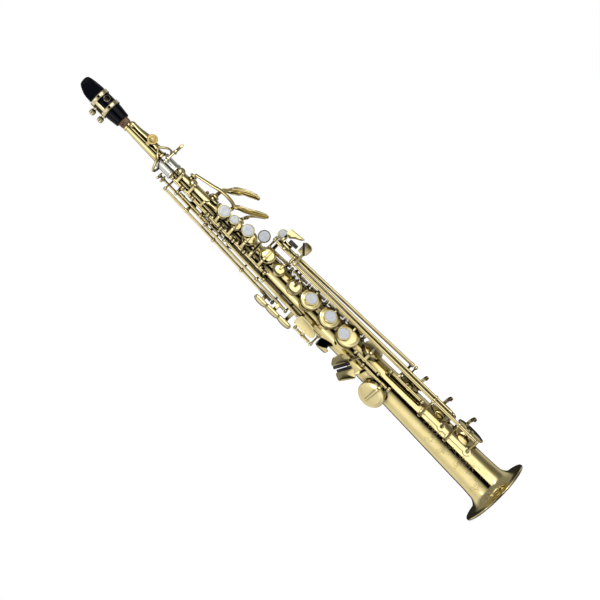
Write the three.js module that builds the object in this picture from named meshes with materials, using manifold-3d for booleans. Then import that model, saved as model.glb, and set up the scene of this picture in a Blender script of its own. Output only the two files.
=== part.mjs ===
// Straight soprano saxophone in millimetres. The origin is on the tube's axis in the plane of the bell's rim,
// +Z points at the mouthpiece and the main keys face -Y. Angles go round the tube from -Y towards +X.
import * as THREE from 'three';
import { mergeVertices } from 'three/addons/utils/BufferGeometryUtils.js';
import Module from 'manifold-3d';

const wasm = await Module();
wasm.setup();

// Driving dimensions
const tubeTop = 534;            // upper end of the conical tube, inside the neck receiver
const tubeBaseRadius = 24.3;    // outer cone radius carried down to the rim plane
const tubeTopRadius = 7.75;
const tubeWall = 1.2;
const bellRimRadius = 45;
const bellThroatHeight = 50;    // where the flare is joined to the tube
const rimThickness = 2.4;
const neckLength = 98;          // from the tube's top to the neck's own end
const neckTopRadius = 4.2;
const neckWall = 0.9;
const corkRadius = 6.7;
const corkLength = 27;
const mouthpieceLength = 67.5;
const mouthpieceRadius = 11.2;
const chimneyRise = 2.4;        // how far a tone hole's seat stands above the tube
const chimneyWall = 0.9;
const cupOverlap = 2;           // the cup is this much wider than its seat, all round
const cupDepth = 2;
const hingeTubeRadius = 1.8;
const armRadius = 1.35;
const postRadius = 1.4;
const postHeadRadius = 2.5;
const ribHeight = 1.2;
const pearlRadius = 6.9;
const gap = 0.3;                // left between pieces that touch
const hingePlay = 0.35;         // between a hinge tube's end and its post

const brass = { color: 0xd9b25c, roughness: 0.25, metalness: 1 };
const silverBrass = { color: 0xd8d4c4, roughness: 0.22, metalness: 1 };
const ebonite = { color: 0x0b0d14, roughness: 0.25, metalness: 0 };
const corkBrown = { color: 0x6b4a34, roughness: 0.9, metalness: 0 };
const cane = { color: 0xd9c084, roughness: 0.6, metalness: 0 };
const pearlWhite = { color: 0xe6ebf2, roughness: 0.2, metalness: 0 };

const saxophone = new THREE.Group();
const taper = (tubeBaseRadius - tubeTopRadius) / tubeTop;
const radians = THREE.MathUtils.degToRad;
const vector = (x, y, z) => new THREE.Vector3(x, y, z);
const radiusAt = (z) => tubeBaseRadius - taper * z;
const outwards = (phi) => vector(Math.sin(radians(phi)), -Math.cos(radians(phi)), 0);
const seatNormal = (phi) => outwards(phi).add(vector(0, 0, taper)).normalize();

// The point at a height above the tube's surface, on the line round the tube at angle phi.
const above = (z, phi, height) => outwards(phi).multiplyScalar(radiusAt(z) + height).add(vector(0, 0, z));

// Shapes

function solid(geometry, matrix) {
  const bare = geometry.clone();
  bare.deleteAttribute('normal');
  bare.deleteAttribute('uv');
  if (matrix) bare.applyMatrix4(matrix);
  const merged = mergeVertices(bare, 1e-4);
  const index = merged.index.array;
  const triangles = [];
  for (let i = 0; i < index.length; i += 3) {
    const [a, b, c] = [index[i], index[i + 1], index[i + 2]];
    if (a !== b && b !== c && c !== a) triangles.push(a, b, c);
  }
  const vertProperties = new Float32Array(merged.attributes.position.array);
  const build = (order) => new wasm.Manifold(
    new wasm.Mesh({ numProp: 3, vertProperties, triVerts: new Uint32Array(order) }));
  const body = build(triangles);
  return body.volume() > 0 ? body : build(triangles.reverse());
}

function geometryOf(body, matrix) {
  const mesh = body.getMesh();
  const geometry = new THREE.BufferGeometry();
  geometry.setAttribute('position', new THREE.BufferAttribute(new Float32Array(mesh.vertProperties), 3));
  geometry.setIndex(new THREE.BufferAttribute(new Uint32Array(mesh.triVerts), 1));
  if (matrix) geometry.applyMatrix4(matrix);
  geometry.computeVertexNormals();
  return geometry;
}

const joined = (parts) => parts.reduce((whole, part) => whole.add(part));

// The place of a shape whose own Y axis runs along the direction given.
function standing(point, direction) {
  const turn = new THREE.Quaternion().setFromUnitVectors(vector(0, 1, 0), direction.clone().normalize());
  return new THREE.Matrix4().compose(point, turn, vector(1, 1, 1));
}

function rod(from, to, radius, sides = 8) {
  const middle = from.clone().add(to).multiplyScalar(0.5);
  const shape = new THREE.CylinderGeometry(radius, radius, from.distanceTo(to), sides);
  return solid(shape, standing(middle, to.clone().sub(from)));
}

function turned(outline, point = vector(0, 0, 0), direction = vector(0, 0, 1), segments = 14) {
  const points = outline.map(([r, h]) => new THREE.Vector2(r, h));
  const first = outline[0];
  if (first[0] > 0) points.push(points[0].clone());
  return solid(new THREE.LatheGeometry(points, segments), standing(point, direction));
}

// A flat bar from one point to another, its broad face turned towards the facing direction.
function bar(from, to, width, thickness, facing) {
  const along = to.clone().sub(from);
  const length = along.length();
  const x = along.normalize();
  const z = facing.clone().addScaledVector(x, -facing.dot(x)).normalize();
  const y = z.clone().cross(x);
  const middle = from.clone().add(to).multiplyScalar(0.5);
  const place = new THREE.Matrix4().makeBasis(x, y, z).setPosition(middle);
  return solid(new THREE.BoxGeometry(length + thickness, width, thickness), place);
}

function chain(points, width, thickness, facing) {
  return joined(points.slice(1).map((point, i) => bar(points[i], point, width, thickness, facing)));
}

const spline = (outline, curveSteps) => new THREE.Shape(new THREE.SplineCurve(
  outline.map(([a, b]) => new THREE.Vector2(a, b))).getPoints(outline.length * curveSteps));

// A plate whose outline is drawn in X and Z, with its back at depth y and its face towards -Y.
function frontPlate(outline, y, thickness, curveSteps = 0) {
  const points = outline.map(([a, b]) => new THREE.Vector2(a, b));
  const shape = curveSteps ? spline(outline, curveSteps) : new THREE.Shape(points);
  const plate = new THREE.ExtrudeGeometry(shape, { depth: thickness, bevelEnabled: false });
  const place = new THREE.Matrix4().makeBasis(vector(1, 0, 0), vector(0, 0, 1), vector(0, -1, 0));
  return solid(plate, place.setPosition(vector(0, y, 0)));
}

function sweep(points, radius, steps, sides = 8) {
  const path = new THREE.CatmullRomCurve3(points);
  const section = new THREE.Shape(new THREE.EllipseCurve(0, 0, radius, radius).getPoints(sides).slice(0, sides));
  return solid(new THREE.ExtrudeGeometry(section, { extrudePath: path, steps }));
}

// Placing

function addMesh(name, body, finish, parent = saxophone, matrix = undefined) {
  const mesh = new THREE.Mesh(geometryOf(body, matrix), new THREE.MeshStandardMaterial(finish));
  mesh.name = name;
  parent.add(mesh);
  return mesh;
}

// A group at a hinge, with its Z along the pin from the low point to the high one and its X away from the tube.
// What it holds stands turned by the open angle and is drawn in the closed place.
function hinge(name, low, high, range, openAngle = 0) {
  const z = high.clone().sub(low).normalize();
  const out = vector(low.x, low.y, 0);
  const x = out.addScaledVector(z, -out.dot(z)).normalize();
  const frame = new THREE.Matrix4().makeBasis(x, z.clone().cross(x), z).setPosition(low);
  const outer = new THREE.Group();
  outer.applyMatrix4(frame);
  const inner = new THREE.Group();
  inner.rotation.z = radians(openAngle);
  inner.userData = { joint: name, range, toLocal: frame.clone().invert() };
  outer.add(inner);
  saxophone.add(outer);
  return inner;
}

const hang = (name, body, finish, group) => addMesh(name, body, finish, group, group.userData.toLocal);

// Tone holes: height up the tube, angle round it and the radius of the cup that covers the hole
const toneHoles = {
  octaveUpper: { z: tubeTop - 12.8, phi: 35, cup: 4.6 },
  octaveLower: { z: tubeTop - 32.4, phi: 35, cup: 4.6 },
  palmF: { z: 508.2, phi: 88, cup: 4.6 },
  palmEFlat: { z: 474, phi: 92, cup: 5.3 },
  palmD: { z: 434, phi: 92, cup: 5.8 },
  b: { z: 452.7, phi: 31, cup: 8 },
  bis: { z: 431.5, phi: 31, cup: 6.6 },
  a: { z: 410.5, phi: 30, cup: 9.3 },
  g: { z: 381.6, phi: 32, cup: 10.2 },
  gSharp: { z: 360.5, phi: 22, cup: 8 },
  fSharp: { z: 334.2, phi: 7, cup: 9.3 },
  f: { z: 310.5, phi: 16, cup: 12.9 },
  e: { z: 280.7, phi: 16, cup: 12.9 },
  d: { z: 250.8, phi: 16, cup: 14.4 },
  eFlat: { z: 218.4, phi: 55, cup: 12.9 },
  lowC: { z: 183.9, phi: -57, cup: 17 },
  lowCSharp: { z: 159, phi: 95, cup: 14.5 },
  lowB: { z: 109.7, phi: 92, cup: 16 },
  lowBFlat: { z: 71, phi: 92, cup: 19 },
  sideE: { z: 486, phi: -115, cup: 5 },
  sideC: { z: 450, phi: -118, cup: 5.6 },
  sideBFlat: { z: 422, phi: -112, cup: 6.2 },
  highFSharp: { z: 497, phi: 158, cup: 4.6 },
};
const seatRadius = (hole) => hole.cup - cupOverlap;
const seatSides = (hole) => (hole.cup > 9 ? 12 : 8);

function chimney(hole, extra = 0) {
  const height = radiusAt(hole.z) + chimneyRise + extra;
  const outline = [[0, 2], [seatRadius(hole) + extra, 2], [seatRadius(hole) + extra, height], [0, height]];
  return turned(outline, vector(0, 0, hole.z), seatNormal(hole.phi), seatSides(hole));
}

function chimneyBore(hole) {
  const radius = seatRadius(hole) - chimneyWall;
  const height = radiusAt(hole.z) + chimneyRise + 1;
  const depth = Math.sqrt(Math.max(1, (radiusAt(hole.z) - tubeWall) ** 2 - radius ** 2)) * 0.8;
  const outline = [[0, depth], [radius, depth], [radius, height], [0, height]];
  return turned(outline, vector(0, 0, hole.z), seatNormal(hole.phi), seatSides(hole));
}

const tubeSides = 16;
const cone = (extra, low, high) => turned([
  [0, low], [radiusAt(low) + extra, low], [radiusAt(high) + extra, high], [0, high],
], vector(0, 0, 0), vector(0, 0, 1), tubeSides);

// What every soldered fitting is cut back by, so that it sits just off the tube and its chimneys.
const tubeEnvelope = joined([
  cone(gap, bellThroatHeight - 20, tubeTop),
  ...Object.values(toneHoles).map((hole) => chimney(hole, gap)),
]);

function bodyTube() {
  const holes = Object.values(toneHoles);
  const outside = joined([cone(0, bellThroatHeight + gap, tubeTop), ...holes.map((hole) => chimney(hole))]);
  const inside = joined([cone(-tubeWall, bellThroatHeight - 5, tubeTop + 5), ...holes.map(chimneyBore)]);
  addMesh('body_tube', outside.subtract(inside), brass);
}

function bell() {
  const throat = radiusAt(bellThroatHeight);
  const flare = bellRimRadius - throat;
  // The flare opens slowly at first and then fast, out to the rolled rim.
  const steps = [1, 0.7, 0.4, 0.24, 0.12, 0.05];
  const profile = steps.map((s) => [throat + (flare - rimThickness) * (1 - s) ** 2 * 0.13
    + (flare - rimThickness) * Math.max(0, 1 - s / 0.3) ** 2 * 0.87, bellThroatHeight * s]);
  const outer = [...profile, [bellRimRadius - 1, rimThickness + 0.6], [bellRimRadius, rimThickness * 0.6],
    [bellRimRadius - 0.6, 0]];
  const inner = [[bellRimRadius - 4.5, 0], ...profile.slice().reverse().map(([r, z]) => [r - tubeWall, z])];
  addMesh('bell', turned([...outer, ...inner], undefined, undefined, 28), brass);
}

// Neck: receiver, clamp screw, neck tube, cork
const receiverBottom = tubeTop - 7.2;
const receiverTop = tubeTop + 14.5;
const receiverRadius = 9.5;
const receiverBore = tubeTopRadius + 0.8;
const screwHeight = tubeTop + 8.7;
const screwRadius = 1.3;
const screwReach = 27;
const screwPhi = 20;             // where the clamp's two ears stand
const neckKeyPhi = 40;
const saddlePin = 5;            // height of the neck key's pin above the neck tube
const neckBottomRadius = 7.5;
const neckTop = tubeTop + neckLength;
const neckPipHeight = neckTop - corkLength - 5;
const neckSaddleHeight = (tubeTop + neckPipHeight) / 2 + 5;
const forkRise = neckSaddleHeight - tubeTop - 12;   // where the octave lever meets its ring
const neckRadiusAt = (z) => THREE.MathUtils.mapLinear(
  z, receiverTop, neckTop, neckBottomRadius, neckTopRadius);

function receiver() {
  const floor = radiusAt(receiverBottom) + gap;
  const ring = turned([
    [floor, receiverBottom], [receiverRadius + 0.8, receiverBottom], [receiverRadius + 0.8, receiverBottom + 3],
    [receiverRadius, receiverBottom + 3], [receiverRadius, receiverTop], [receiverBore, receiverTop],
    [receiverBore, tubeTop - 2],
  ], undefined, undefined, 18);
  const out = outwards(screwPhi);
  const side = outwards(screwPhi + 90);
  const ear = (offset) => bar(out.clone().multiplyScalar(receiverRadius + 0.3).addScaledVector(side, offset),
    out.clone().multiplyScalar(receiverRadius + 4).addScaledVector(side, offset), 7, 2, side)
    .translate([0, 0, screwHeight]);
  const slit = bar(out.clone().multiplyScalar(receiverRadius - 4), out.clone().multiplyScalar(receiverRadius + 8),
    20, 1.2, side).translate([0, 0, screwHeight]);
  const axis = clampAxis();
  const hole = rod(axis.inner.clone().addScaledVector(axis.along, -8), axis.outer, screwRadius + gap, 10);
  addMesh('neck_receiver', joined([ring, ear(1.9), ear(-1.9)]).subtract(slit).subtract(hole), silverBrass);
}

// The clamp screw crosses the two ears and reaches out towards +X, where its head is turned.
function clampAxis() {
  const along = outwards(screwPhi + 90);
  const centre = outwards(screwPhi).multiplyScalar(receiverRadius + 2.4).add(vector(0, 0, screwHeight));
  const outer = centre.clone().addScaledVector(along, screwReach);
  return { along, inner: centre.clone().addScaledVector(along, -4.5), outer };
}

function neckScrew() {
  const { inner, outer, along } = clampAxis();
  const group = hinge('neck_screw_turn', inner, outer, [-180, 180]);
  const neckOfHead = outer.clone().addScaledVector(along, -13);
  const head = bar(neckOfHead, outer, 5.4, 2.4, vector(0, -1, 0));
  hang('neck_screw', joined([rod(inner, outer, screwRadius, 10), head]), brass, group);
}

const neckPipRise = 2;
const cheekOffset = 3.6;
const onNeck = (z, rise) => outwards(neckKeyPhi).multiplyScalar(neckRadiusAt(z) + rise).add(vector(0, 0, z));

function neck() {
  const tube = turned([
    [neckBottomRadius + 0.7, tubeTop + gap], [neckBottomRadius + 0.7, receiverTop + 1],
    [neckBottomRadius, receiverTop + 1.8], [neckTopRadius, neckTop], [neckTopRadius - neckWall, neckTop],
    [neckBottomRadius - neckWall, tubeTop + gap],
  ], undefined, undefined, 16);
  const side = outwards(neckKeyPhi + 90);
  const cheek = (offset) => bar(onNeck(neckSaddleHeight, -2).addScaledVector(side, offset),
    onNeck(neckSaddleHeight, saddlePin + 0.8).addScaledVector(side, offset), 4.4, 1.4, side);
  const pip = rod(onNeck(neckPipHeight, -1), onNeck(neckPipHeight, neckPipRise), 2, 10);
  const bore = turned([[0, tubeTop - 1], [neckBottomRadius - neckWall, tubeTop - 1],
    [neckTopRadius - neckWall, neckTop + 1], [0, neckTop + 1]], undefined, undefined, 16);
  const vent = rod(onNeck(neckPipHeight, -4), onNeck(neckPipHeight, neckPipRise + 1), 0.8, 6);
  const body = joined([tube, cheek(-cheekOffset), cheek(cheekOffset), pip]).subtract(bore).subtract(vent);
  addMesh('neck_tube', body, brass);
}

function cork() {
  addMesh('neck_cork', turned([
    [neckRadiusAt(neckTop - corkLength) + gap, neckTop - corkLength], [corkRadius, neckTop - corkLength],
    [corkRadius, neckTop - 1], [corkRadius - 0.8, neckTop], [neckTopRadius + gap, neckTop],
  ], undefined, undefined, 16), corkBrown);
}

// A long lever on the neck's saddle: a cup over the pip at its upper end and a ring round the receiver below.
function neckOctaveKey() {
  const side = outwards(neckKeyPhi + 90);
  const pin = onNeck(neckSaddleHeight, saddlePin);
  const half = cheekOffset - 0.7 - hingePlay;
  const group = hinge('neck_octave', pin.clone().addScaledVector(side, -half), pin.clone().addScaledVector(side, half),
    [0, 6]);
  const out = outwards(neckKeyPhi);
  const pad = onNeck(neckPipHeight, neckPipRise + gap);
  const crown = pad.clone().addScaledVector(out, 2.6);
  const round = (height, phi, radius) => outwards(phi).multiplyScalar(radius).add(vector(0, 0, height));
  const fork = onNeck(tubeTop + forkRise, 3.6);
  const ring = [[neckKeyPhi + 4, forkRise, 11.2], [85, 17, 15], [130, 12.6, 16.4], [180, 11.6, 16.6], [230, 11.6, 16.6],
    [290, 12.6, 16.6], [345, 17, 14.6], [neckKeyPhi + 356, forkRise, 11.2]];
  const loop = sweep(ring.map(([phi, rise, radius]) => round(tubeTop + rise, phi, radius)), 1.3, 14, 5);
  hang('neck_octave_key', joined([
    rod(pin.clone().addScaledVector(side, -half), pin.clone().addScaledVector(side, half), 1.9, 10),
    turned([[0, 0], [3.8, 0], [3.8, 1.6], [0, 3.2]], pad, out, 10),
    chain([crown, onNeck(neckPipHeight - 12, 4.4), pin, onNeck(neckSaddleHeight - 7, 4.2), fork], 4.6, 1.6, out),
    turned([[0, 0], [6.4, 0], [6.4, 1.2], [0, 1.6]], onNeck(neckSaddleHeight - 1, saddlePin + 2.2), out, 12),
    bar(pin, onNeck(neckSaddleHeight, saddlePin + 2.6), 3, 3, side),
    bar(round(tubeTop + forkRise + 1, neckKeyPhi - 14, 11.2),
      round(tubeTop + forkRise + 1, neckKeyPhi + 14, 11.2), 3, 2.6, out),
    loop,
  ]), brass, group);
}

// Mouthpiece, reed and ligature. The reed lies on the flat table behind and the beak slopes in front.
const mouthpieceBottom = neckTop - corkLength + 7.3;
const mouthpieceTop = mouthpieceBottom + mouthpieceLength;
const mouthpieceTurn = -15;     // degrees that the mouthpiece is turned on the cork
const tableDepth = 7.6;
const reedWidth = 12.4;
const reedLength = 60;
const reedThickness = 2.6;
const ligatureLow = mouthpieceBottom + 20.1;    // middle of the lower band
const ligatureHigh = mouthpieceBottom + 37.6;
const screwHeights = [ligatureLow, ligatureHigh - 4.7];
const bandHeight = 5.2;
const ligatureInner = mouthpieceRadius + gap;

function mouthpieceGroup() {
  const slide = new THREE.Group();
  slide.rotation.z = radians(mouthpieceTurn);
  slide.userData = { slide: 'mouthpiece_slide', range: [0, 5] };
  saxophone.add(slide);
  return slide;
}

// Everything under a rounded tip: the half width lower down and how far below the tip it starts to narrow
function tipOutline(halfWidth, taperLength, high) {
  const side = [[halfWidth, mouthpieceBottom - 1], [halfWidth, high - taperLength], [7.4, high - 4.6],
    [6.2, high - 2], [3.6, high - 0.5]];
  return frontPlate([...side, [0, high], ...side.reverse().map(([x, z]) => [-x, z])], 15, 30);
}

function mouthpiece(parent) {
  const [low, high] = [mouthpieceBottom, mouthpieceTop];
  const outside = turned([
    [0, low], [9, low], [9.2, low + 1.5], [mouthpieceRadius, low + 18], [mouthpieceRadius, low + 42],
    [10, high], [0, high],
  ], undefined, undefined, 20);
  const beak = new THREE.Shape([[-30, high - 38], [-mouthpieceRadius - 0.6, high - 38], [-3.6, high - 13],
    [tableDepth - 2.4, high], [tableDepth - 2.4, high + 5], [-30, high + 5]].map(([y, z]) => new THREE.Vector2(y, z)));
  const acrossX = new THREE.Matrix4().makeBasis(vector(0, 1, 0), vector(0, 0, 1), vector(1, 0, 0));
  const cut = solid(new THREE.ExtrudeGeometry(beak, { depth: 40, bevelEnabled: false }),
    acrossX.setPosition(vector(-20, 0, 0)));
  const table = solid(new THREE.BoxGeometry(40, 20, reedLength + 8),
    new THREE.Matrix4().setPosition(vector(0, tableDepth + 10, high - (reedLength + 8) / 2 + 3)));
  const bore = turned([[0, low - 1], [corkRadius + gap, low - 1], [corkRadius + gap, low + corkLength - 4],
    [5.4, low + corkLength + 2], [4.2, low + 46], [0, low + 46]], undefined, undefined, 14);
  const window = solid(new THREE.BoxGeometry(8.4, 16, 32),
    new THREE.Matrix4().setPosition(vector(0, tableDepth + 3, high - 22)));
  const front = tipOutline(12, 24, high);
  addMesh('mouthpiece', outside.intersect(front).subtract(joined([cut, table, bore, window])), ebonite, parent);
}

function reed(parent) {
  const high = mouthpieceTop - 0.4;
  const profile = [[0, high], [0.35, high], [1.5, high - 20], [reedThickness, high - 31],
    [reedThickness, high - reedLength], [0, high - reedLength]];
  const side = new THREE.Shape(profile.map(([y, z]) => new THREE.Vector2(y, z)));
  const acrossX = new THREE.Matrix4().makeBasis(vector(0, 1, 0), vector(0, 0, 1), vector(1, 0, 0));
  const slab = solid(new THREE.ExtrudeGeometry(side, { depth: reedWidth, bevelEnabled: false }),
    acrossX.setPosition(vector(-reedWidth / 2, tableDepth + gap, 0)));
  const round = turned([[0, high - reedLength - 1], [ligatureInner - gap, high - reedLength - 1],
    [ligatureInner - gap, high + 1], [0, high + 1]], undefined, undefined, 20);
  addMesh('reed', slab.intersect(round).intersect(tipOutline(reedWidth / 2, 5, high)), cane, parent);
}

const lugReach = ligatureInner + 2.6;

function ligature(parent) {
  const band = (z) => turned([
    [ligatureInner, z - bandHeight / 2], [ligatureInner + 0.9, z - bandHeight / 2],
    [ligatureInner + 0.9, z + bandHeight / 2], [ligatureInner, z + bandHeight / 2],
  ], undefined, undefined, 20);
  const ringAt = (phi) => outwards(phi).multiplyScalar(ligatureInner + 0.45);
  const upright = (phi, width) => bar(ringAt(phi).add(vector(0, 0, ligatureLow)),
    ringAt(phi).add(vector(0, 0, ligatureHigh)), width, 0.9, outwards(phi));
  const lug = (z) => rod(vector(-ligatureInner - 0.2, 0, z), vector(-lugReach, 0, z), 2.3);
  const plate = bar(vector(-ligatureInner - 1.2, 0, ligatureLow - 1), vector(-ligatureInner - 1.2, 0,
    ligatureHigh + 1), 4, 1.4, vector(-1, 0, 0));
  const inside = turned([[0, ligatureLow - 9], [ligatureInner, ligatureLow - 9], [ligatureInner, ligatureHigh + 9],
    [0, ligatureHigh + 9]], undefined, undefined, 20);
  const body = joined([band(ligatureLow), band(ligatureHigh), upright(-20, 4), upright(150, 5),
    upright(210, 5), plate, ...screwHeights.map(lug)]).subtract(inside)
    .subtract(joined(screwHeights.map((z) => rod(vector(-8, 0, z), vector(-30, 0, z), 1.3))));
  addMesh('ligature', body, brass, parent);
}

function ligatureScrews(parent) {
  ['lower', 'upper'].forEach((level, i) => {
    const z = screwHeights[i];
    const place = new THREE.Group();
    place.applyMatrix4(standing(vector(-ligatureInner - gap * 2, 0, z), vector(-1, 0, 0)));
    place.userData = { joint: `ligature_screw_${level}_turn`, range: [-180, 180], pinIsY: true };
    parent.add(place);
    const stem = rod(vector(0, 0, 0), vector(0, 6, 0), 1);
    const head = turned([[0, 2.6], [1.6, 2.6], [3.3, 4], [3.6, 6.4], [3.2, 8.8], [0, 9.4]], vector(0, 0, 0),
      vector(0, 1, 0), 10);
    addMesh(`ligature_screw_${level}`, stem.add(head), brass, place);
  });
}

// Hinge lines that lie over the tube: the angle round the tube and the height above it
const leftLine = { phi: -30, height: 4.5 };
const rightLine = { phi: 75, height: 4.5 };
const palmLine = { phi: 135, height: 5 };
const gSharpLine = { phi: 75, height: 5 };
const eFlatLine = { phi: 5, height: 4.6 };
const lowCLine = { phi: -9, height: 5 };
const cSharpLine = { phi: 36, height: 5.3 };
const sideELine = { phi: -88, height: 12.9 };
const sideCLine = { phi: -75, height: 9.2 };
const sideBFlatLine = { phi: -60, height: 5 };
const octaveLine = { phi: -130, height: 11.5 };
const ventLine = { phi: -158, height: 5 };
const leverLine = { phi: -88, height: 13.5 };
const pinAt = (line, z) => above(z, line.phi, line.height);

// Long rods beside the tube, from the little-finger table down to the bell keys
const bellRods = {
  cSharp: { high: vector(30, -14, 386), low: vector(37.3, -14, 172) },
  b: { high: vector(27, -19, 386), low: vector(29.4, -19.5, 104) },
  bFlat: { high: vector(22.6, -20.5, 355), low: vector(26, -23.6, 63.2) },
};
const onRod = ({ low, high }, z) => low.clone().lerp(high, (z - low.z) / (high.z - low.z));

function cupShape(hole) {
  const base = outwards(hole.phi).multiplyScalar(radiusAt(hole.z)).add(vector(0, 0, hole.z))
    .addScaledVector(seatNormal(hole.phi), chimneyRise + gap);
  const outline = [[0, 0], [hole.cup, 0], [hole.cup, cupDepth], [0, cupDepth + 1.4]];
  return turned(outline, base, seatNormal(hole.phi), seatSides(hole));
}

// A point over the cup: sideways is measured round the tube towards growing angles, up along the tube.
function overCup(hole, sideways = 0, up = 0, lift = 0) {
  const normal = seatNormal(hole.phi);
  return outwards(hole.phi).multiplyScalar(radiusAt(hole.z)).add(vector(0, 0, hole.z))
    .addScaledVector(normal, chimneyRise + gap + cupDepth + 1.4 + lift)
    .addScaledVector(outwards(hole.phi + 90), sideways).add(vector(0, 0, up));
}

// An arm from the hinge tube, up past the cup's edge and over to its middle.
function cupArm(hole, pin, reach, lift) {
  const side = Math.sign(pin.clone().sub(overCup(hole)).dot(outwards(hole.phi + 90)));
  const edge = overCup(hole, side * (hole.cup + 0.4), pin.z - hole.z, lift + 0.2);
  return chain([pin, edge, overCup(hole, -side * reach, 0, lift)], 2.8, 2 * armRadius - 0.6, seatNormal(hole.phi));
}

const pearlSeat = (point, normal, radius) => turned([
  [0, -0.6], [radius + 1.1, -0.6], [radius + 1.1, 1.6], [radius + gap, 1.6], [radius + gap, 0.6], [0, 0.6],
], point, normal, 12);

function addPearl(name, point, normal, radius, group) {
  const outline = [[0, 0.6 + gap], [radius, 0.6 + gap], [radius, 1.7], [0, 2.3]];
  hang(name, turned(outline, point, normal, 12), pearlWhite, group);
}

// One key over one tone hole. It stands open or shut at rest, and turns about a pin between two posts.
function cupKey(name, hole, { low, high }, { lift, open = false, pinHeight = hole.z, reach = 0, armLift = 0.4,
  ownArm = false, extra = [], touch = undefined }) {
  const side = Math.sign(low.clone().sub(overCup(hole)).dot(outwards(hole.phi + 90)));
  const angle = side * lift;
  const range = open ? [Math.min(0, -angle), Math.max(0, -angle)] : [Math.min(0, angle), Math.max(0, angle)];
  const group = hinge(name, low, high, range, open ? angle : 0);
  const pin = low.clone().lerp(high, (pinHeight - low.z) / (high.z - low.z));
  const arm = ownArm ? [] : [cupArm(hole, pin, reach, armLift)];
  const parts = [rod(low, high, hingeTubeRadius), cupShape(hole), ...arm, ...extra];
  hang(`${name}_key`, joined(parts), brass, group);
  if (touch) addPearl(`${name}_pearl`, touch.point, touch.normal, touch.radius, group);
  return group;
}

const segment = (line, low, high) => ({ low: pinAt(line, low), high: pinAt(line, high) });
const playOff = postHeadRadius + hingePlay;     // hinge tubes stop this far from a post's middle

// Left-hand stack and the octave vents share one line of pins; each tube lies between two posts.
const leftPosts = { octaveTop: tubeTop - 10.5, octaveMiddle: tubeTop - 27.5, octaveLow: tubeTop - 43.5,
  front: 464, b: 442.5, bis: 422, a: 404.5, g: 370.5 };
const rightPosts = { top: 351, f: 323.6, e: 295.6, d: 266, low: 236.2 };
const palmPosts = [484.5, 464, 444, 424];
const eFlatPosts = [231.6, 195.6];
const lowCPosts = [215.6, 174.8];
const cSharpPosts = [187, 137];

const between = (line, upper, lower) => segment(line, lower + playOff, upper - playOff);

function octaveVents() {
  cupKey('octave_vent_upper', toneHoles.octaveUpper,
    between(leftLine, leftPosts.octaveTop, leftPosts.octaveMiddle), { lift: 9, pinHeight: tubeTop - 17 });
  cupKey('octave_vent_lower', toneHoles.octaveLower,
    between(leftLine, leftPosts.octaveMiddle, leftPosts.octaveLow), { lift: 9, pinHeight: tubeTop - 36 });
}

function frontFKey() {
  const { low, high } = between(leftLine, leftPosts.octaveLow, leftPosts.front);
  const group = hinge('front_f', low, high, [0, 8]);
  const start = pinAt(leftLine, 478);
  const touchOutline = [[7.2, 461], [9.5, 464], [9.2, 470], [6, 474.5], [3.4, 470], [4.2, 464]];
  const plate = frontPlate(touchOutline, -18.6, 1.8, 2);
  const arm = chain([start, vector(0, -19.2, 477), vector(6, -19.5, 471)], 3, 2, vector(0, -1, 0));
  hang('front_f_key', joined([rod(low, high, hingeTubeRadius), arm, plate]), brass, group);
}

function leftStack() {
  const { b, bis, a, g } = toneHoles;
  const normal = (hole) => seatNormal(hole.phi);
  const pearlOn = (hole, sideways, up, radius) => {
    const point = overCup(hole, sideways, up, 1);
    return { seat: pearlSeat(point, normal(hole), radius), touch: { point, normal: normal(hole), radius } };
  };
  const post = (hole, sideways, up) => rod(overCup(hole, sideways, up, -1.5), overCup(hole, sideways, up, 1), 2.4);
  const onB = pearlOn(b, 0.6, 0, pearlRadius);
  cupKey('b', b, between(leftLine, leftPosts.front, leftPosts.b),
    { lift: 10, open: true, extra: [onB.seat, post(b, 0, 0)], touch: onB.touch });
  const onBis = pearlOn(bis, 1.4, 6, 5);
  cupKey('bis', bis, between(leftLine, leftPosts.b, leftPosts.bis),
    { lift: 10, open: true, extra: [onBis.seat, post(bis, 1.4, 4)], touch: onBis.touch });
  const onA = pearlOn(a, 4, 7.2, pearlRadius);
  cupKey('a', a, between(leftLine, leftPosts.bis, leftPosts.a),
    { lift: 10, open: true, extra: [onA.seat, post(a, 3, 5.5)], touch: onA.touch });
  const tilt = outwards(14).add(vector(0, 0, 0.1)).normalize();
  const pearlPoint = vector(22.5, -21.5, 399.4);
  const pin = pinAt(leftLine, 396.5);
  const stem = chain([pin, vector(-2, -21.6, 396.8), vector(14, -20.2, 397.5), vector(22.5, -20.6, 399)], 3.2, 2,
    vector(0, -1, 0));
  cupKey('g', g, between(leftLine, leftPosts.a, leftPosts.g), { lift: 10, open: true, reach: 6,
    extra: [stem, pearlSeat(pearlPoint, tilt, 6.4)], touch: { point: pearlPoint, normal: tilt, radius: 6.4 } });
}

function gSharpKey() {
  const pins = { low: pinAt(gSharpLine, rightPosts.top + playOff), high: pinAt(gSharpLine, 385.2) };
  const pearlPoint = vector(38, -8.4, 386.4);
  const normal = outwards(20);
  const stem = chain([pinAt(gSharpLine, 383), vector(26, -5, 383.4), vector(37.4, -7.4, 386)], 3.4, 2,
    vector(0, -1, 0));
  cupKey('g_sharp', toneHoles.gSharp, pins, { lift: 12, extra: [stem, pearlSeat(pearlPoint, normal, 5.4)],
    touch: { point: pearlPoint, normal, radius: 5.4 } });
}

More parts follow.
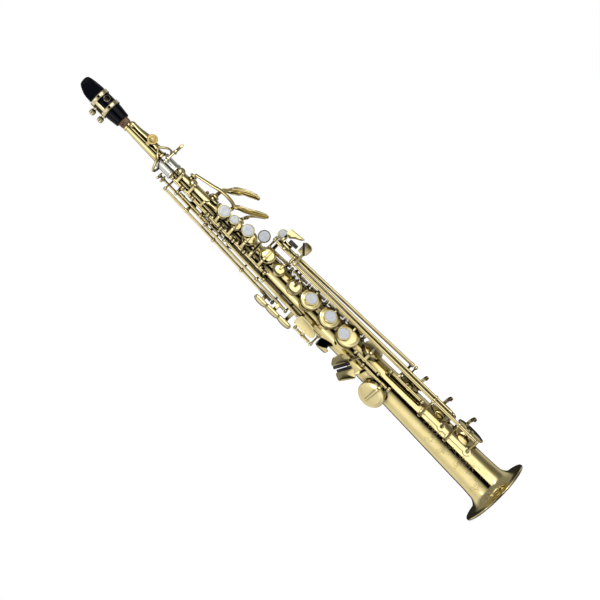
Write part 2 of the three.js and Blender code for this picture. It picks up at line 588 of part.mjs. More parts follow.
function rightStack() {
  const { fSharp, f, e, d } = toneHoles;
  cupKey('f_sharp', fSharp, between(rightLine, rightPosts.top, rightPosts.f), { lift: 8, open: true });
  const rows = [['f', f, rightPosts.f, rightPosts.e, -1, 0], ['e', e, rightPosts.e, rightPosts.d, -0.5, 0],
    ['d', d, rightPosts.d, rightPosts.low, -4.2, 5]];
  rows.forEach(([name, hole, upper, lower, sideways, up]) => {
    const point = overCup(hole, sideways, up, 1);
    const normal = seatNormal(hole.phi);
    const support = rod(overCup(hole, sideways, up, -1.6), point, 2.6);
    cupKey(name, hole, between(rightLine, upper, lower), { lift: 11, open: true, reach: -hole.cup * 0.5, armLift: -0.1,
      extra: [pearlSeat(point, normal, pearlRadius), support], touch: { point, normal, radius: pearlRadius } });
  });
}

function littleFingerKeysRight() {
  const eFlatPins = between(eFlatLine, ...eFlatPosts);
  const lowCPins = between(lowCLine, ...lowCPosts);
  const eFlatPlate = frontPlate([[-10, 241.5], [-10, 231], [-13.4, 228.5], [-29.4, 238], [-29, 241.6], [-22.4, 246.4]],
    -24.6, 1.8);
  const lowCPlate = frontPlate([[-14.2, 221], [-21.4, 209.8], [-38, 221.8], [-34, 231.4], [-28, 229.4]],
    -24.6, 1.8);
  cupKey('e_flat', toneHoles.eFlat, eFlatPins, { lift: 11, pinHeight: 218.4, extra: [eFlatPlate,
    chain([pinAt(eFlatLine, 224.5), vector(-6, -25.6, 227.5), vector(-20, -25.6, 237)], 3.6, 1.8, vector(0, -1, 0))] });
  cupKey('low_c', toneHoles.lowC, lowCPins, { lift: 15, open: true, extra: [lowCPlate,
    chain([pinAt(lowCLine, 209), vector(-12, -25.6, 212), vector(-26, -25.6, 220)], 3.6, 1.8, vector(0, -1, 0))] });
}

// Bell keys: each long rod carries a touch at the little-finger table and, but for low C sharp, its own cup.
const tablePlateDepth = -23.2;
const plateThickness = 1.7;

function bellKeys() {
  const front = vector(0, -1, 0);
  const { cSharp, b, bFlat } = bellRods;
  const leverPlate = frontPlate([[48.5, 384.5], [51, 363.4], [47.6, 367], [45, 374], [38.6, 379], [43, 384.5]],
    tablePlateDepth, plateThickness);
  const lever = hinge('low_c_sharp_lever', cSharp.low, cSharp.high, [0, 9]);
  const leverArm = chain([onRod(cSharp, 382.4), vector(34, -23.8, 382.4), vector(44, -23.8, 382)], 3, 1.8, front);
  const kicker = chain([onRod(cSharp, 175.6), vector(26, -14.4, 175.6)], 3, 1.8, front);
  hang('low_c_sharp_lever', joined([rod(cSharp.low, cSharp.high, hingeTubeRadius), leverPlate, leverArm,
    kicker]), brass, lever);

  const hole = toneHoles.lowCSharp;
  const tail = chain([pinAt(cSharpLine, 177), vector(23.8, -17.4, 176)], 3, 1.6, front);
  cupKey('low_c_sharp', hole, between(cSharpLine, ...cSharpPosts), { lift: 10, extra: [tail] });

  const bPlate = frontPlate([[31.2, 379.4], [36.6, 379.4], [37, 368.6], [31.2, 368.4]], tablePlateDepth,
    plateThickness);
  const bArm = chain([onRod(b, 374), vector(28, -23.8, 374), vector(34, -23.8, 374)], 3, 1.8, front);
  cupKey('low_b', toneHoles.lowB, b, { lift: 12, open: true, pinHeight: 107, extra: [bPlate, bArm] });

  const bFlatPlate = frontPlate([[37, 362], [51, 361.4], [52, 357], [52, 351], [48, 348.6], [40, 349.6], [37, 353]],
    tablePlateDepth, plateThickness);
  const bFlatArm = chain([onRod(bFlat, 353), vector(24, -23.8, 353), vector(42, -23.8, 354)], 3.4, 1.8, front);
  cupKey('low_b_flat', toneHoles.lowBFlat, bFlat, { lift: 12, open: true, pinHeight: 71,
    extra: [bFlatPlate, bFlatArm] });
}

// Side keys: touches for the side of the right hand, long rods, and cups high on the tube's left back
function sideKeys() {
  const touch = (z, length, x) => solid(new THREE.BoxGeometry(4.6, 10, length),
    new THREE.Matrix4().makeRotationZ(radians(12)).setPosition(vector(x, -9, z)));
  const rows = [
    ['side_e', toneHoles.sideE, sideELine, 343, 519, 350.6, 15, -34.4, 7, 0.4],
    ['side_c', toneHoles.sideC, sideCLine, 325, 456, 332.6, 17, -33.6, 8, 0.4],
    ['side_b_flat', toneHoles.sideBFlat, sideBFlatLine, 307.5, 427, 314.6, 16, -33, 8, -0.6],
  ];
  rows.forEach(([name, hole, line, low, high, touchHeight, length, x, lift, armLift]) => {
    const pin = pinAt(line, touchHeight);
    cupKey(name, hole, segment(line, low, high), { lift, armLift, extra: [touch(touchHeight, length, x),
      chain([pin, vector(x + 1, -8, touchHeight)], 5, 1.8, vector(0, -1, 0))] });
  });
}

const octaveLow = 462;

function thumbOctaveKey() {
  const { low, high } = segment(octaveLine, octaveLow, tubeTop + 5);
  const group = hinge('thumb_octave', low, high, [-8, 0]);
  const pinArm = (z) => chain([pinAt(octaveLine, z), vector(-18.6, 4, z), vector(-11.4, 2, z)], 2.4, 2.4,
    vector(0, 0, 1));
  const touch = turned([[0, 0], [6, 0], [6, 1.4], [0, 2]], vector(0, 17.8, 468), vector(0, 1, 0), 12);
  const arm = chain([pinAt(octaveLine, 467), vector(-12.5, 18.6, 467.4), vector(0, 18.6, 468)], 3, 1.6,
    vector(0, 1, 0));
  hang('thumb_octave_key', joined([rod(low, high, hingeTubeRadius - 0.2, 10), touch, arm, pinArm(tubeTop + 3.4),
    pinArm(tubeTop - 2)]), brass, group);
}

const ventHigh = 502;
const leverPins = { low: 277.4, high: 298 };

function highFSharpKeys() {
  const hole = toneHoles.highFSharp;
  const toe = chain([pinAt(ventLine, 305), above(305, -128, 7.5), above(305, -108, 11)], 3, 2, vector(0, 0, 1));
  cupKey('high_f_sharp_vent', hole, segment(ventLine, 303, ventHigh), { lift: 9, extra: [toe] });

  const pins = segment(leverLine, leverPins.low, leverPins.high);
  const group = hinge('high_f_sharp_lever', pins.low, pins.high, [0, 8]);
  const paddle = frontPlate([[-12.4, 303], [-12.8, 290], [-15.5, 281], [-20, 277.6], [-24.6, 282], [-24.8, 302],
    [-22, 306.6], [-15, 306.6]], -17, 1.8, 1);
  const arm = chain([pinAt(leverLine, 288), vector(-27.5, -12, 289), vector(-22, -17.6, 290)], 4, 1.8,
    vector(0, -1, 0));
  hang('high_f_sharp_lever', joined([rod(pins.low, pins.high, hingeTubeRadius), paddle, arm]), brass, group);
}

// Palm keys: short hinge tubes behind, small side cups and long curved touches reaching out to +X
function palmKeys() {
  const bent = (outline, y, width) => frontPlate(outline, y, width, 1);
  const pinsOf = (i) => between(palmLine, palmPosts[i], palmPosts[i + 1]);
  const fTouch = bent([[20.6, 448], [25, 446], [28, 440], [32, 431], [36, 424], [39.5, 417], [41, 411.5],
    [38.6, 415], [34, 422.6], [29, 430], [24, 439], [19.6, 445]], 5, 9);
  const fArm = chain([pinAt(palmLine, 452), vector(21.5, 6, 452), vector(23.5, 0, 470), vector(20, -1, 486),
    vector(15.4, -1, 508)], 3.4, 2.2, outwards(90));
  const fRoot = chain([vector(21.5, 3, 452), vector(21.8, 1.5, 446)], 6, 2.4, outwards(90));
  cupKey('palm_f', toneHoles.palmF, pinsOf(1), { lift: 8, ownArm: true, extra: [fTouch, fArm, fRoot] });

  const eTouch = bent([[34, 467], [38, 464], [42.5, 456], [46.6, 447], [48.8, 438], [48.4, 433.8], [46, 436],
    [43.5, 444], [39.5, 453], [34.5, 460.5], [33, 464]], 5, 9);
  const eArm = chain([pinAt(palmLine, 475), vector(24, 9, 474), vector(29.4, 5, 469), vector(35, 2, 464)], 3.4, 2.2,
    vector(0, -1, 0.4));
  cupKey('palm_e_flat', toneHoles.palmEFlat, pinsOf(0), { lift: 9, extra: [eTouch, eArm] });

  const dTouch = bent([[22, 436], [28, 431], [34, 424], [38, 416], [36.4, 414.6], [31, 421], [25, 427.4],
    [20, 431]], 20, 8);
  const dArm = chain([pinAt(palmLine, 434), vector(18, 16, 434), vector(24, 16, 430.6)], 4, 2.2, vector(0, -1, 0));
  cupKey('palm_d', toneHoles.palmD, pinsOf(2), { lift: 9, extra: [dTouch, dArm] });
}

// Posts. Each set stands on one rib that is soldered along the tube.
function rib(phi, low, high, width) {
  const along = above(high, phi, 0).sub(above(low, phi, 0));
  const shape = new THREE.BoxGeometry(width, along.length(), ribHeight * 4);
  const middle = above((low + high) / 2, phi, -ribHeight);
  const y = along.normalize();
  const z = outwards(phi).addScaledVector(y, -outwards(phi).dot(y)).normalize();
  return solid(shape, new THREE.Matrix4().makeBasis(y.clone().cross(z), y, z).setPosition(middle));
}

const postSides = 6;
const boreRadius = (hingeTubeRadius + gap) / Math.cos(Math.PI / postSides);

// A post from a foot on the tube to a point on a pin. A head that a tube runs through is bored out.
function post(foot, head, along, through = false) {
  const stem = rod(foot, head, postRadius, 5);
  const length = 2.8;
  const end = (sign) => head.clone().addScaledVector(along, (sign * length) / 2);
  const barrel = rod(end(-1), end(1), through ? boreRadius + 1 : postHeadRadius, postSides);
  if (!through) return { body: stem.add(barrel) };
  const bore = rod(end(-2), end(2), boreRadius, postSides);
  return { body: stem.add(barrel), bore };
}

function postsOn(name, ribs, posts, cuts = []) {
  const bores = posts.filter((item) => item.bore).map((item) => item.bore);
  const whole = joined([...ribs, ...posts.map((item) => item.body)]);
  addMesh(name, whole.subtract(joined([tubeEnvelope, ...bores, ...cuts])), brass);
}

const lineAlong = (line) => above(400, line.phi, line.height).sub(above(300, line.phi, line.height)).normalize();
const postAt = (line, z, footPhi = line.phi, through = false) => post(
  above(z, footPhi, -0.5), pinAt(line, z), lineAlong(line), through);

function stackPosts() {
  postsOn('left_stack_posts', [rib(leftLine.phi, leftPosts.g - 4, leftPosts.octaveTop + 3, 5)],
    Object.values(leftPosts).map((z) => postAt(leftLine, z)));
  postsOn('right_stack_posts', [rib(rightLine.phi, rightPosts.low - 3, 391, 5)],
    [...Object.values(rightPosts).map((z) => postAt(rightLine, z)), postAt(gSharpLine, 387.9)]);
  postsOn('palm_posts', [rib(palmLine.phi, 421, 487, 5)], palmPosts.map((z) => postAt(palmLine, z)));
  postsOn('low_c_e_flat_posts', [rib(-2, 172, 234, 6)],
    [...eFlatPosts.map((z) => postAt(eFlatLine, z, 3)), ...lowCPosts.map((z) => postAt(lowCLine, z, -6))]);
}

function sidePosts() {
  const ends = [
    postAt(sideELine, 343 - playOff), postAt(sideCLine, 325 - playOff, -80), postAt(sideBFlatLine,
      307.5 - playOff, -76), postAt(sideCLine, 456 + playOff, -80), postAt(sideBFlatLine, 427 + playOff, -76),
    postAt(sideELine, 440, -90, true), postAt(sideELine, 392, -90, true), postAt(sideCLine, 372, -80, true),
    postAt(sideBFlatLine, 366, -76, true),
  ];
  postsOn('side_key_posts', [rib(-84, 272, 470, 6)], [...ends,
    postAt(leverLine, leverPins.low - playOff), postAt(leverLine, leverPins.high + playOff)]);
  const topPost = post(above(519 + playOff, -150, -0.5), pinAt(sideELine, 519 + playOff), lineAlong(sideELine));
  postsOn('octave_posts', [rib(-148, 298, 526, 5)], [
    postAt(octaveLine, octaveLow - playOff, -148), postAt(octaveLine, 510, -148, true), topPost,
    postAt(ventLine, 303 - playOff, -152), postAt(ventLine, ventHigh + playOff, -152),
    postAt(ventLine, 396, -152, true)]);
}

// A head on a long rod, at the end of whatever carries it
const headOn = (rodLine, z, through) => {
  const point = onRod(rodLine, z);
  return post(point.clone().add(vector(0, 0.01, 0)), point, vector(0, 0, 1), through);
};

function bellPosts() {
  const { cSharp, b, bFlat } = bellRods;
  const upwards = vector(0, 0, 1);
  const carrier = (points) => ({ body: chain(points, 3, 2.8, upwards) });
  const tops = [bFlat.high.z, b.high.z].map((z) => z + playOff);
  postsOn('table_posts', [rib(98, 353, 393, 4.5)], [
    carrier([above(tops[0], 98, 0), vector(25, 1.8, tops[0]), vector(32, -7, tops[0]), onRod(cSharp, tops[0]),
      onRod(b, tops[0]), onRod(bFlat, tops[0])]),
    carrier([above(tops[1], 98, 0), vector(24, 1.8, tops[1]), vector(27, -8, tops[1]), onRod(cSharp, tops[1]),
      onRod(b, tops[1])]),
    headOn(cSharp, tops[0], true), headOn(b, tops[0], true), headOn(bFlat, tops[0], false),
    headOn(cSharp, tops[1], false), headOn(b, tops[1], false),
  ]);
  const leverEnd = cSharp.low.z - playOff;
  postsOn('low_c_sharp_posts', [rib(38, 135, 191, 10)], [
    ...cSharpPosts.map((z) => postAt(cSharpLine, z)),
    post(above(leverEnd, 40, 0), onRod(cSharp, leverEnd), upwards),
  ]);
  const bEnd = b.low.z - playOff;
  const bFlatEnd = bFlat.low.z - playOff;
  const guides = [129, 88.6];
  const saddle = (z) => ({ body: chain([4, 16, 28].map((phi) => above(z, phi, 0.7)), 4.4, 1.4, outwards(16)) });
  postsOn('bell_key_posts', [rib(27, 55, 132, 6)], [
    ...guides.map(saddle),
    post(above(guides[0], 7, 0), onRod(bFlat, guides[0]), upwards, true),
    carrier([onRod(bFlat, guides[0]), onRod(b, guides[0])]), headOn(b, guides[0], true),
    post(above(guides[1], 5, 0), onRod(bFlat, guides[1]), upwards, true),
    post(above(bEnd, 27, 0), onRod(b, bEnd), upwards),
    post(above(bFlatEnd, 27, 0), onRod(bFlat, bFlatEnd), upwards),
  ]);
}

// One arch over each open bell-key cup, with a felt bumper at its tip, all on one rib behind the tube.
function keyGuards() {
  const arch = (z, hole, reach) => chain([above(z, 140, -0.5), vector(24, hole.cup + 7, z),
    vector(reach - 6, hole.cup + 5, z), vector(reach, hole.cup * 0.6, z), vector(reach, -4, z)], 3.2, 2.2,
  vector(0, 0, 1));
  const bodies = [arch(150.4, toneHoles.lowCSharp, 38), arch(113.4, toneHoles.lowB, 41),
    arch(76.6, toneHoles.lowBFlat, 43.5)];
  postsOn('key_guards', [rib(140, 72, 155, 6)], bodies.map((body) => ({ body })));
}

function fittings() {
  const plate = rib(-160, 252, 278, 9);
  const blade = chain([above(264, -158, 0.5), above(264, -120, 8), above(264, -88, 8.6), above(264, -62, 7)],
    2.2, 14, vector(0, 0, 1));
  postsOn('thumb_hook', [plate], [{ body: blade }]);
  const base = rib(180, 322, 338, 8);
  const ring = sweep([...Array(9)].map((_, i) => {
    const turn = radians(-70 + (320 * i) / 8 + 90);
    return vector(0, radiusAt(330) + 6.4 + 5 * Math.cos(turn), 330 + 5 * Math.sin(turn));
  }), 1.3, 14, 6);
  postsOn('strap_ring', [base], [{ body: ring.add(rod(above(330, 180, 0), above(330, 180, 3), 2.2)) }]);
  const restPhi = 170;
  const rest = turned([[0, radiusAt(446) - 1], [3.4, radiusAt(446) - 1], [3.4, radiusAt(446) + 2.4],
    [5, radiusAt(446) + 3.4], [5, radiusAt(446) + 5], [0, radiusAt(446) + 5.8]], vector(0, 0, 446),
  outwards(restPhi), 12);
  postsOn('thumb_rest', [rest], []);
}

bodyTube();
bell();
receiver();
neckScrew();
neck();
cork();
neckOctaveKey();
const mouthpiecePlace = mouthpieceGroup();
mouthpiece(mouthpiecePlace);
reed(mouthpiecePlace);
ligature(mouthpiecePlace);
ligatureScrews(mouthpiecePlace);
octaveVents();
frontFKey();
leftStack();
gSharpKey();
rightStack();
littleFingerKeysRight();
bellKeys();
sideKeys();
thumbOctaveKey();
highFSharpKeys();
palmKeys();
stackPosts();
sidePosts();
bellPosts();
keyGuards();
fittings();

export default saxophone;
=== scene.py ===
# Straight soprano saxophone in lacquered brass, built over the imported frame
import bpy
import bmesh
import math
import random
from mathutils import Matrix, Vector


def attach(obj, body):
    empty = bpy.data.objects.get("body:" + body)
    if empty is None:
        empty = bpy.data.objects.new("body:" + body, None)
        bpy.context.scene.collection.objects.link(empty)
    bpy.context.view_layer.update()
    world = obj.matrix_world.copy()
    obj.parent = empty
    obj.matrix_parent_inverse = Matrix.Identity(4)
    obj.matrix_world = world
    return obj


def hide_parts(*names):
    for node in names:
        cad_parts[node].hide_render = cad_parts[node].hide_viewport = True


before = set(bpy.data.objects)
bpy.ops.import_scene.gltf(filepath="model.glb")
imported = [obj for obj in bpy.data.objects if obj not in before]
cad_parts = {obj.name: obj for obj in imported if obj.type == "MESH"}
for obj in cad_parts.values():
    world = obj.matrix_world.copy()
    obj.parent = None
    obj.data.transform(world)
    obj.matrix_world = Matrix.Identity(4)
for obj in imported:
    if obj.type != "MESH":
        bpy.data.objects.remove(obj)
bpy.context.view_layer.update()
scene = bpy.context.scene
mm = 0.001
radians = math.radians

# Millimetres throughout: z runs up the tube, phi round it in degrees from the front
# A tone hole is (z, phi, cup radius); a hinge line is (phi, height over the tube)
tube = {"top": 534, "baseRadius": 24.3, "topRadius": 7.75, "wall": 1.2, "throat": 50, "rimRadius": 45}
neck = {"length": 98, "bottomRadius": 7.5, "topRadius": 4.2, "corkRadius": 6.7, "corkLength": 27,
        "keyPhi": 40, "saddle": 572, "saddlePin": 5, "pip": 600, "pipRise": 2}
receiver = {"top": 548.5, "radius": 9.5, "screwZ": 542.7, "screwPhi": 20, "reach": 27}
chimney = {"rise": 2.4, "wall": 0.9, "overlap": 2}
gap = 0.3
pinRadius = 1.8
bellRodRadius = 2.15
headRadius = 2.5
playOff = headRadius + 0.35

toneHoles = {
    "octaveUpper": (521.2, 35, 4.6), "octaveLower": (501.6, 35, 4.6), "palmF": (508.2, 88, 4.6),
    "palmEFlat": (474, 92, 5.3), "palmD": (434, 92, 5.8), "b": (452.7, 31, 8), "bis": (431.5, 31, 6.6),
    "a": (410.5, 30, 9.3), "g": (381.6, 32, 10.2), "gSharp": (360.5, 22, 8), "fSharp": (334.2, 7, 9.3),
    "f": (310.5, 16, 12.9), "e": (280.7, 16, 12.9), "d": (250.8, 16, 14.4), "eFlat": (218.4, 55, 12.9),
    "lowC": (183.9, -57, 17), "lowCSharp": (159, 95, 14.5), "lowB": (109.7, 92, 16), "lowBFlat": (71, 92, 19),
    "sideE": (486, -115, 5), "sideC": (450, -118, 5.6), "sideBFlat": (422, -112, 6.2),
    "highFSharp": (497, 158, 4.6),
}
lines = {
    "left": (-30, 4.5), "right": (75, 4.5), "palm": (135, 5), "gSharp": (75, 5), "eFlat": (5, 4.6),
    "lowC": (-9, 5), "cSharp": (36, 5.3), "sideE": (-88, 12.9), "sideC": (-75, 9.2), "sideBFlat": (-60, 5),
    "octave": (-130, 11.5), "vent": (-158, 5), "lever": (-88, 13.5),
}
leftPosts = {"octaveTop": 523.5, "octaveMiddle": 506.5, "octaveLow": 490.5, "front": 464, "b": 442.5,
             "bis": 422, "a": 404.5, "g": 370.5}
rightPosts = {"top": 351, "f": 323.6, "e": 295.6, "d": 266, "low": 236.2}
palmPosts = [484.5, 464, 444, 424]
eFlatPosts = [231.6, 195.6]
lowCPosts = [215.6, 174.8]
cSharpPosts = [187, 137]
leverPins = (277.4, 298)
octavePins = (462, 539)
ventPins = (303, 502)
bellRods = {
    "cSharp": (Vector((37.3, -14, 172)), Vector((30, -14, 386))),
    "b": (Vector((29.4, -19.5, 104)), Vector((27, -19, 386))),
    "bFlat": (Vector((26, -23.6, 63.2)), Vector((22.6, -20.5, 355))),
}
taper = (tube["baseRadius"] - tube["topRadius"]) / tube["top"]
up = Vector((0, 0, 1))
front = Vector((0, -1, 0))


def vec(x, y, z):
    return Vector((x, y, z))


def radiusAt(z):
    return tube["baseRadius"] - taper * z


def outwards(phi):
    return vec(math.sin(radians(phi)), -math.cos(radians(phi)), 0)


def seatNormal(phi):
    return (outwards(phi) + vec(0, 0, taper)).normalized()


def above(z, phi, height):
    return outwards(phi) * (radiusAt(z) + height) + vec(0, 0, z)


def pinAt(line, z):
    phi, height = lines[line]
    return above(z, phi, height)


def segment(line, low, high):
    return pinAt(line, low), pinAt(line, high)


def between(line, upper, lower):
    return segment(line, lower + playOff, upper - playOff)


def onRod(rod, z):
    low, high = bellRods[rod]
    return low.lerp(high, (z - low.z) / (high.z - low.z))


def lineAlong(line):
    return (pinAt(line, 400) - pinAt(line, 300)).normalized()


# Shapes are drawn into a bmesh in millimetres and scaled when the piece is made
def frameAlong(direction, facing=None):
    z = direction.normalized()
    if facing is None:
        facing = vec(1, 0, 0) if abs(z.x) < 0.8 else vec(0, 1, 0)
    x = (facing - z * facing.dot(z)).normalized()
    return x, z.cross(x), z


def joinRings(bm, rings, loop=False):
    pairs = list(zip(rings, rings[1:])) + ([(rings[-1], rings[0])] if loop else [])
    for a, b in pairs:
        count = max(len(a), len(b))
        for i in range(count):
            j = (i + 1) % count
            corners = [a[i % len(a)], a[j % len(a)], b[j % len(b)], b[i % len(b)]]
            corners = [c for k, c in enumerate(corners) if c not in corners[:k]]
            if len(corners) > 2:
                bm.faces.new(corners)


def turned(bm, outline, at=Vector(), along=up, steps=40, facing=None, flutes=None):
    x, y, z = frameAlong(along, facing)
    rings = []
    for radius, height in outline:
        if radius < 1e-5:
            rings.append([bm.verts.new(at + z * height)])
            continue
        ring = []
        for i in range(steps):
            turn = 2 * math.pi * i / steps
            r = radius * (1 + flutes[1] * math.cos(flutes[0] * turn)) if flutes else radius
            ring.append(bm.verts.new(at + (x * math.cos(turn) + y * math.sin(turn)) * r + z * height))
        rings.append(ring)
    joinRings(bm, rings, loop=outline[0][0] > 1e-5)


def rod(bm, low, high, radius, steps=20, edge=0.3):
    length = (high - low).length
    turned(bm, [(0, 0), (radius - edge, 0), (radius, edge), (radius, length - edge), (radius - edge, length),
                (0, length)], low, high - low, steps)


def smoothPath(points, steps=6):
    if len(points) < 3:
        return points
    ends = [points[0] * 2 - points[1]] + list(points) + [points[-1] * 2 - points[-2]]
    path = []
    for p0, p1, p2, p3 in zip(ends, ends[1:], ends[2:], ends[3:]):
        for i in range(steps):
            t = i / steps
            path.append(0.5 * (2 * p1 + (p2 - p0) * t + (2 * p0 - 5 * p1 + 4 * p2 - p3) * t * t
                               + (3 * p1 - p0 - 3 * p2 + p3) * t * t * t))
    return path + [points[-1]]


def partWay(values, t):
    if not isinstance(values, (list, tuple)):
        return values
    place = t * (len(values) - 1)
    i = min(int(place), len(values) - 2)
    return values[i] + (values[i + 1] - values[i]) * (place - i)


def strap(bm, points, width, thickness, facing, steps=6, sides=14, squareness=0.55, caps=True):
    path = smoothPath([p.copy() for p in points], steps)
    rings = []
    count = len(path)
    for k, point in enumerate(path):
        tangent = (path[min(k + 1, count - 1)] - path[max(k - 1, 0)]).normalized()
        face = facing(k / (count - 1)) if callable(facing) else facing
        v = (face - tangent * face.dot(tangent)).normalized()
        u = tangent.cross(v)
        w, h = partWay(width, k / (count - 1)) / 2, partWay(thickness, k / (count - 1)) / 2

        def section(scale, push):
            ring = []
            for i in range(sides):
                c, s = math.cos(2 * math.pi * i / sides), math.sin(2 * math.pi * i / sides)
                a = math.copysign(abs(c) ** squareness, c) * w * scale
                b = math.copysign(abs(s) ** squareness, s) * h * scale
                ring.append(bm.verts.new(point + u * a + v * b + tangent * push))
            return ring

        if k == 0 and caps:
            rings.append(section(0.6, -h * 0.8))
        rings.append(section(1, 0))
        if k == count - 1 and caps:
            rings.append(section(0.6, h * 0.8))
    joinRings(bm, rings)
    bm.faces.new(rings[0][::-1])
    bm.faces.new(rings[-1])


def closedCurve(outline, steps):
    count = len(outline)
    points = []
    for i in range(count):
        p0, p1, p2, p3 = (vec(*outline[(i + k - 1) % count], 0) for k in range(4))
        for s in range(steps):
            t = s / steps
            p = 0.5 * (2 * p1 + (p2 - p0) * t + (2 * p0 - 5 * p1 + 4 * p2 - p3) * t * t
                       + (3 * p1 - p0 - 3 * p2 + p3) * t * t * t)
            points.append((p.x, p.y))
    return points


def roundedCorners(outline, size, steps=3):
    points = []
    count = len(outline)
    for i in range(count):
        before, corner, after = (vec(*outline[(i + k - 1) % count], 0) for k in range(3))
        a = corner + (before - corner).normalized() * min(size, (before - corner).length * 0.45)
        b = corner + (after - corner).normalized() * min(size, (after - corner).length * 0.45)
        for s in range(steps + 1):
            t = s / steps
            p = a * (1 - t) ** 2 + corner * 2 * t * (1 - t) + b * t * t
            points.append((p.x, p.y))
    return points


def plate(bm, outline, at, across, upwards, thickness, curve=0, corner=1.5, edge=0.35, crown=0.0):
    points = closedCurve(outline, curve) if curve else roundedCorners(outline, corner)
    area = sum(a[0] * b[1] - b[0] * a[1] for a, b in zip(points, points[1:] + points[:1]))
    if area < 0:
        points = points[::-1]
    normal = across.cross(upwards).normalized()
    count = len(points)
    middle = (sum(p[0] for p in points) / count, sum(p[1] for p in points) / count)
    inward = []
    for i in range(count):
        a, b = points[i - 1], points[(i + 1) % count]
        dx, dy = b[0] - a[0], b[1] - a[1]
        size = math.hypot(dx, dy) or 1
        inward.append((-dy / size, dx / size))

    def ring(inset, height, pull=0.0):
        made = []
        for (a, b), (nx, ny) in zip(points, inward):
            a, b = a + nx * inset, b + ny * inset
            a, b = a + (middle[0] - a) * pull, b + (middle[1] - b) * pull
            made.append(bm.verts.new(at + across * a + upwards * b + normal * height))
        return made

    rings = [ring(edge, 0), ring(0, edge), ring(0, thickness - edge), ring(edge, thickness),
             ring(edge, thickness + crown * 0.6, 0.35), ring(edge, thickness + crown, 0.7)]
    joinRings(bm, rings)
    bm.faces.new(rings[0][::-1])
    bm.faces.new(rings[-1])


def frontPlate(bm, outline, y, thickness, **more):
    plate(bm, outline, vec(0, y, 0), vec(1, 0, 0), up, thickness, **more)


def loopRod(bm, points, radius, sides=10):
    count = len(points)
    rings = []
    for i, p in enumerate(points):
        tangent = (points[(i + 1) % count] - points[i - 1]).normalized()
        x, y, _ = frameAlong(tangent, p - sum(points, Vector()) / count)
        rings.append([bm.verts.new(p + (x * math.cos(2 * math.pi * k / sides)
                                        + y * math.sin(2 * math.pi * k / sides)) * radius)
                      for k in range(sides)])
    joinRings(bm, rings, loop=True)


def slottedHead(bm, at, direction, radius, height=1.2):
    turned(bm, [(0, 0), (radius, 0), (radius, height * 0.6), (radius * 0.8, height), (radius * 0.16, height),
                (radius * 0.12, height * 0.6), (0, height * 0.6)], at, direction, 20)


def makePiece(name, bm, finish, body, nodes=(), sharp=32, turn=None):
    if turn:
        bmesh.ops.transform(bm, matrix=turn, verts=bm.verts)
    bmesh.ops.scale(bm, vec=(mm, mm, mm), verts=bm.verts)
    bmesh.ops.recalc_face_normals(bm, faces=bm.faces)
    mesh = bpy.data.meshes.new(name)
    bm.to_mesh(mesh)
    bm.free()
    mesh.polygons.foreach_set("use_smooth", [True] * len(mesh.polygons))
    mesh.set_sharp_from_angle(angle=radians(sharp))
    mesh.materials.append(finish)
    piece = bpy.data.objects.new(name, mesh)
    scene.collection.objects.link(piece)
    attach(piece, body)
    if nodes:
        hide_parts(*nodes)
    return piece


def cutAway(piece, bm, turn=None):
    if turn:
        bmesh.ops.transform(bm, matrix=turn, verts=bm.verts)
    bmesh.ops.scale(bm, vec=(mm, mm, mm), verts=bm.verts)
    bmesh.ops.recalc_face_normals(bm, faces=bm.faces)
    mesh = bpy.data.meshes.new("cutter")
    bm.to_mesh(mesh)
    bm.free()
    cutter = bpy.data.objects.new("cutter", mesh)
    scene.collection.objects.link(cutter)
    cut = piece.modifiers.new("cut", "BOOLEAN")
    cut.operation = "DIFFERENCE"
    cut.solver = "EXACT"
    cut.use_self = True
    cut.object = cutter
    bpy.context.view_layer.update()
    done = bpy.data.meshes.new_from_object(piece.evaluated_get(bpy.context.evaluated_depsgraph_get()))
    piece.modifiers.clear()
    old = piece.data
    piece.data = done
    bpy.data.meshes.remove(old)
    bpy.data.objects.remove(cutter)
    bpy.data.meshes.remove(mesh)
    piece.data.polygons.foreach_set("use_smooth", [True] * len(piece.data.polygons))
    piece.data.set_sharp_from_angle(angle=radians(32))


def pinTurn(low, high, angle):
    return Matrix.Translation(low) @ Matrix.Rotation(radians(angle), 4, high - low) @ Matrix.Translation(-low)


def newFinish(name):
    finish = bpy.data.materials.new(name)
    finish.use_nodes = True
    nodes = finish.node_tree.nodes
    shader = nodes["Principled BSDF"]
    where = nodes.new("ShaderNodeTexCoord").outputs["Object"]
    return finish, finish.node_tree, shader, where


def grain(tree, where, scale, stretch=(1, 1, 1), detail=4, distortion=0.0):
    mapping = tree.nodes.new("ShaderNodeMapping")
    mapping.inputs["Scale"].default_value = stretch
    noise = tree.nodes.new("ShaderNodeTexNoise")
    noise.inputs["Scale"].default_value = scale
    noise.inputs["Detail"].default_value = detail
    noise.inputs["Distortion"].default_value = distortion
    tree.links.new(where, mapping.inputs["Vector"])
    tree.links.new(mapping.outputs["Vector"], noise.inputs["Vector"])
    return noise.outputs["Fac"]


def ramp(tree, value, stops):
    node = tree.nodes.new("ShaderNodeValToRGB")
    while len(node.color_ramp.elements) < len(stops):
        node.color_ramp.elements.new(0.5)
    for element, (place, color) in zip(node.color_ramp.elements, stops):
        element.position = place
        element.color = (*color, 1)
    tree.links.new(value, node.inputs["Fac"])
    return node.outputs["Color"]


def span(tree, value, low, high, start=0.3, end=0.7):
    node = tree.nodes.new("ShaderNodeMapRange")
    node.inputs["From Min"].default_value = start
    node.inputs["From Max"].default_value = end
    node.inputs["To Min"].default_value = low
    node.inputs["To Max"].default_value = high
    tree.links.new(value, node.inputs["Value"])
    return node.outputs["Result"]


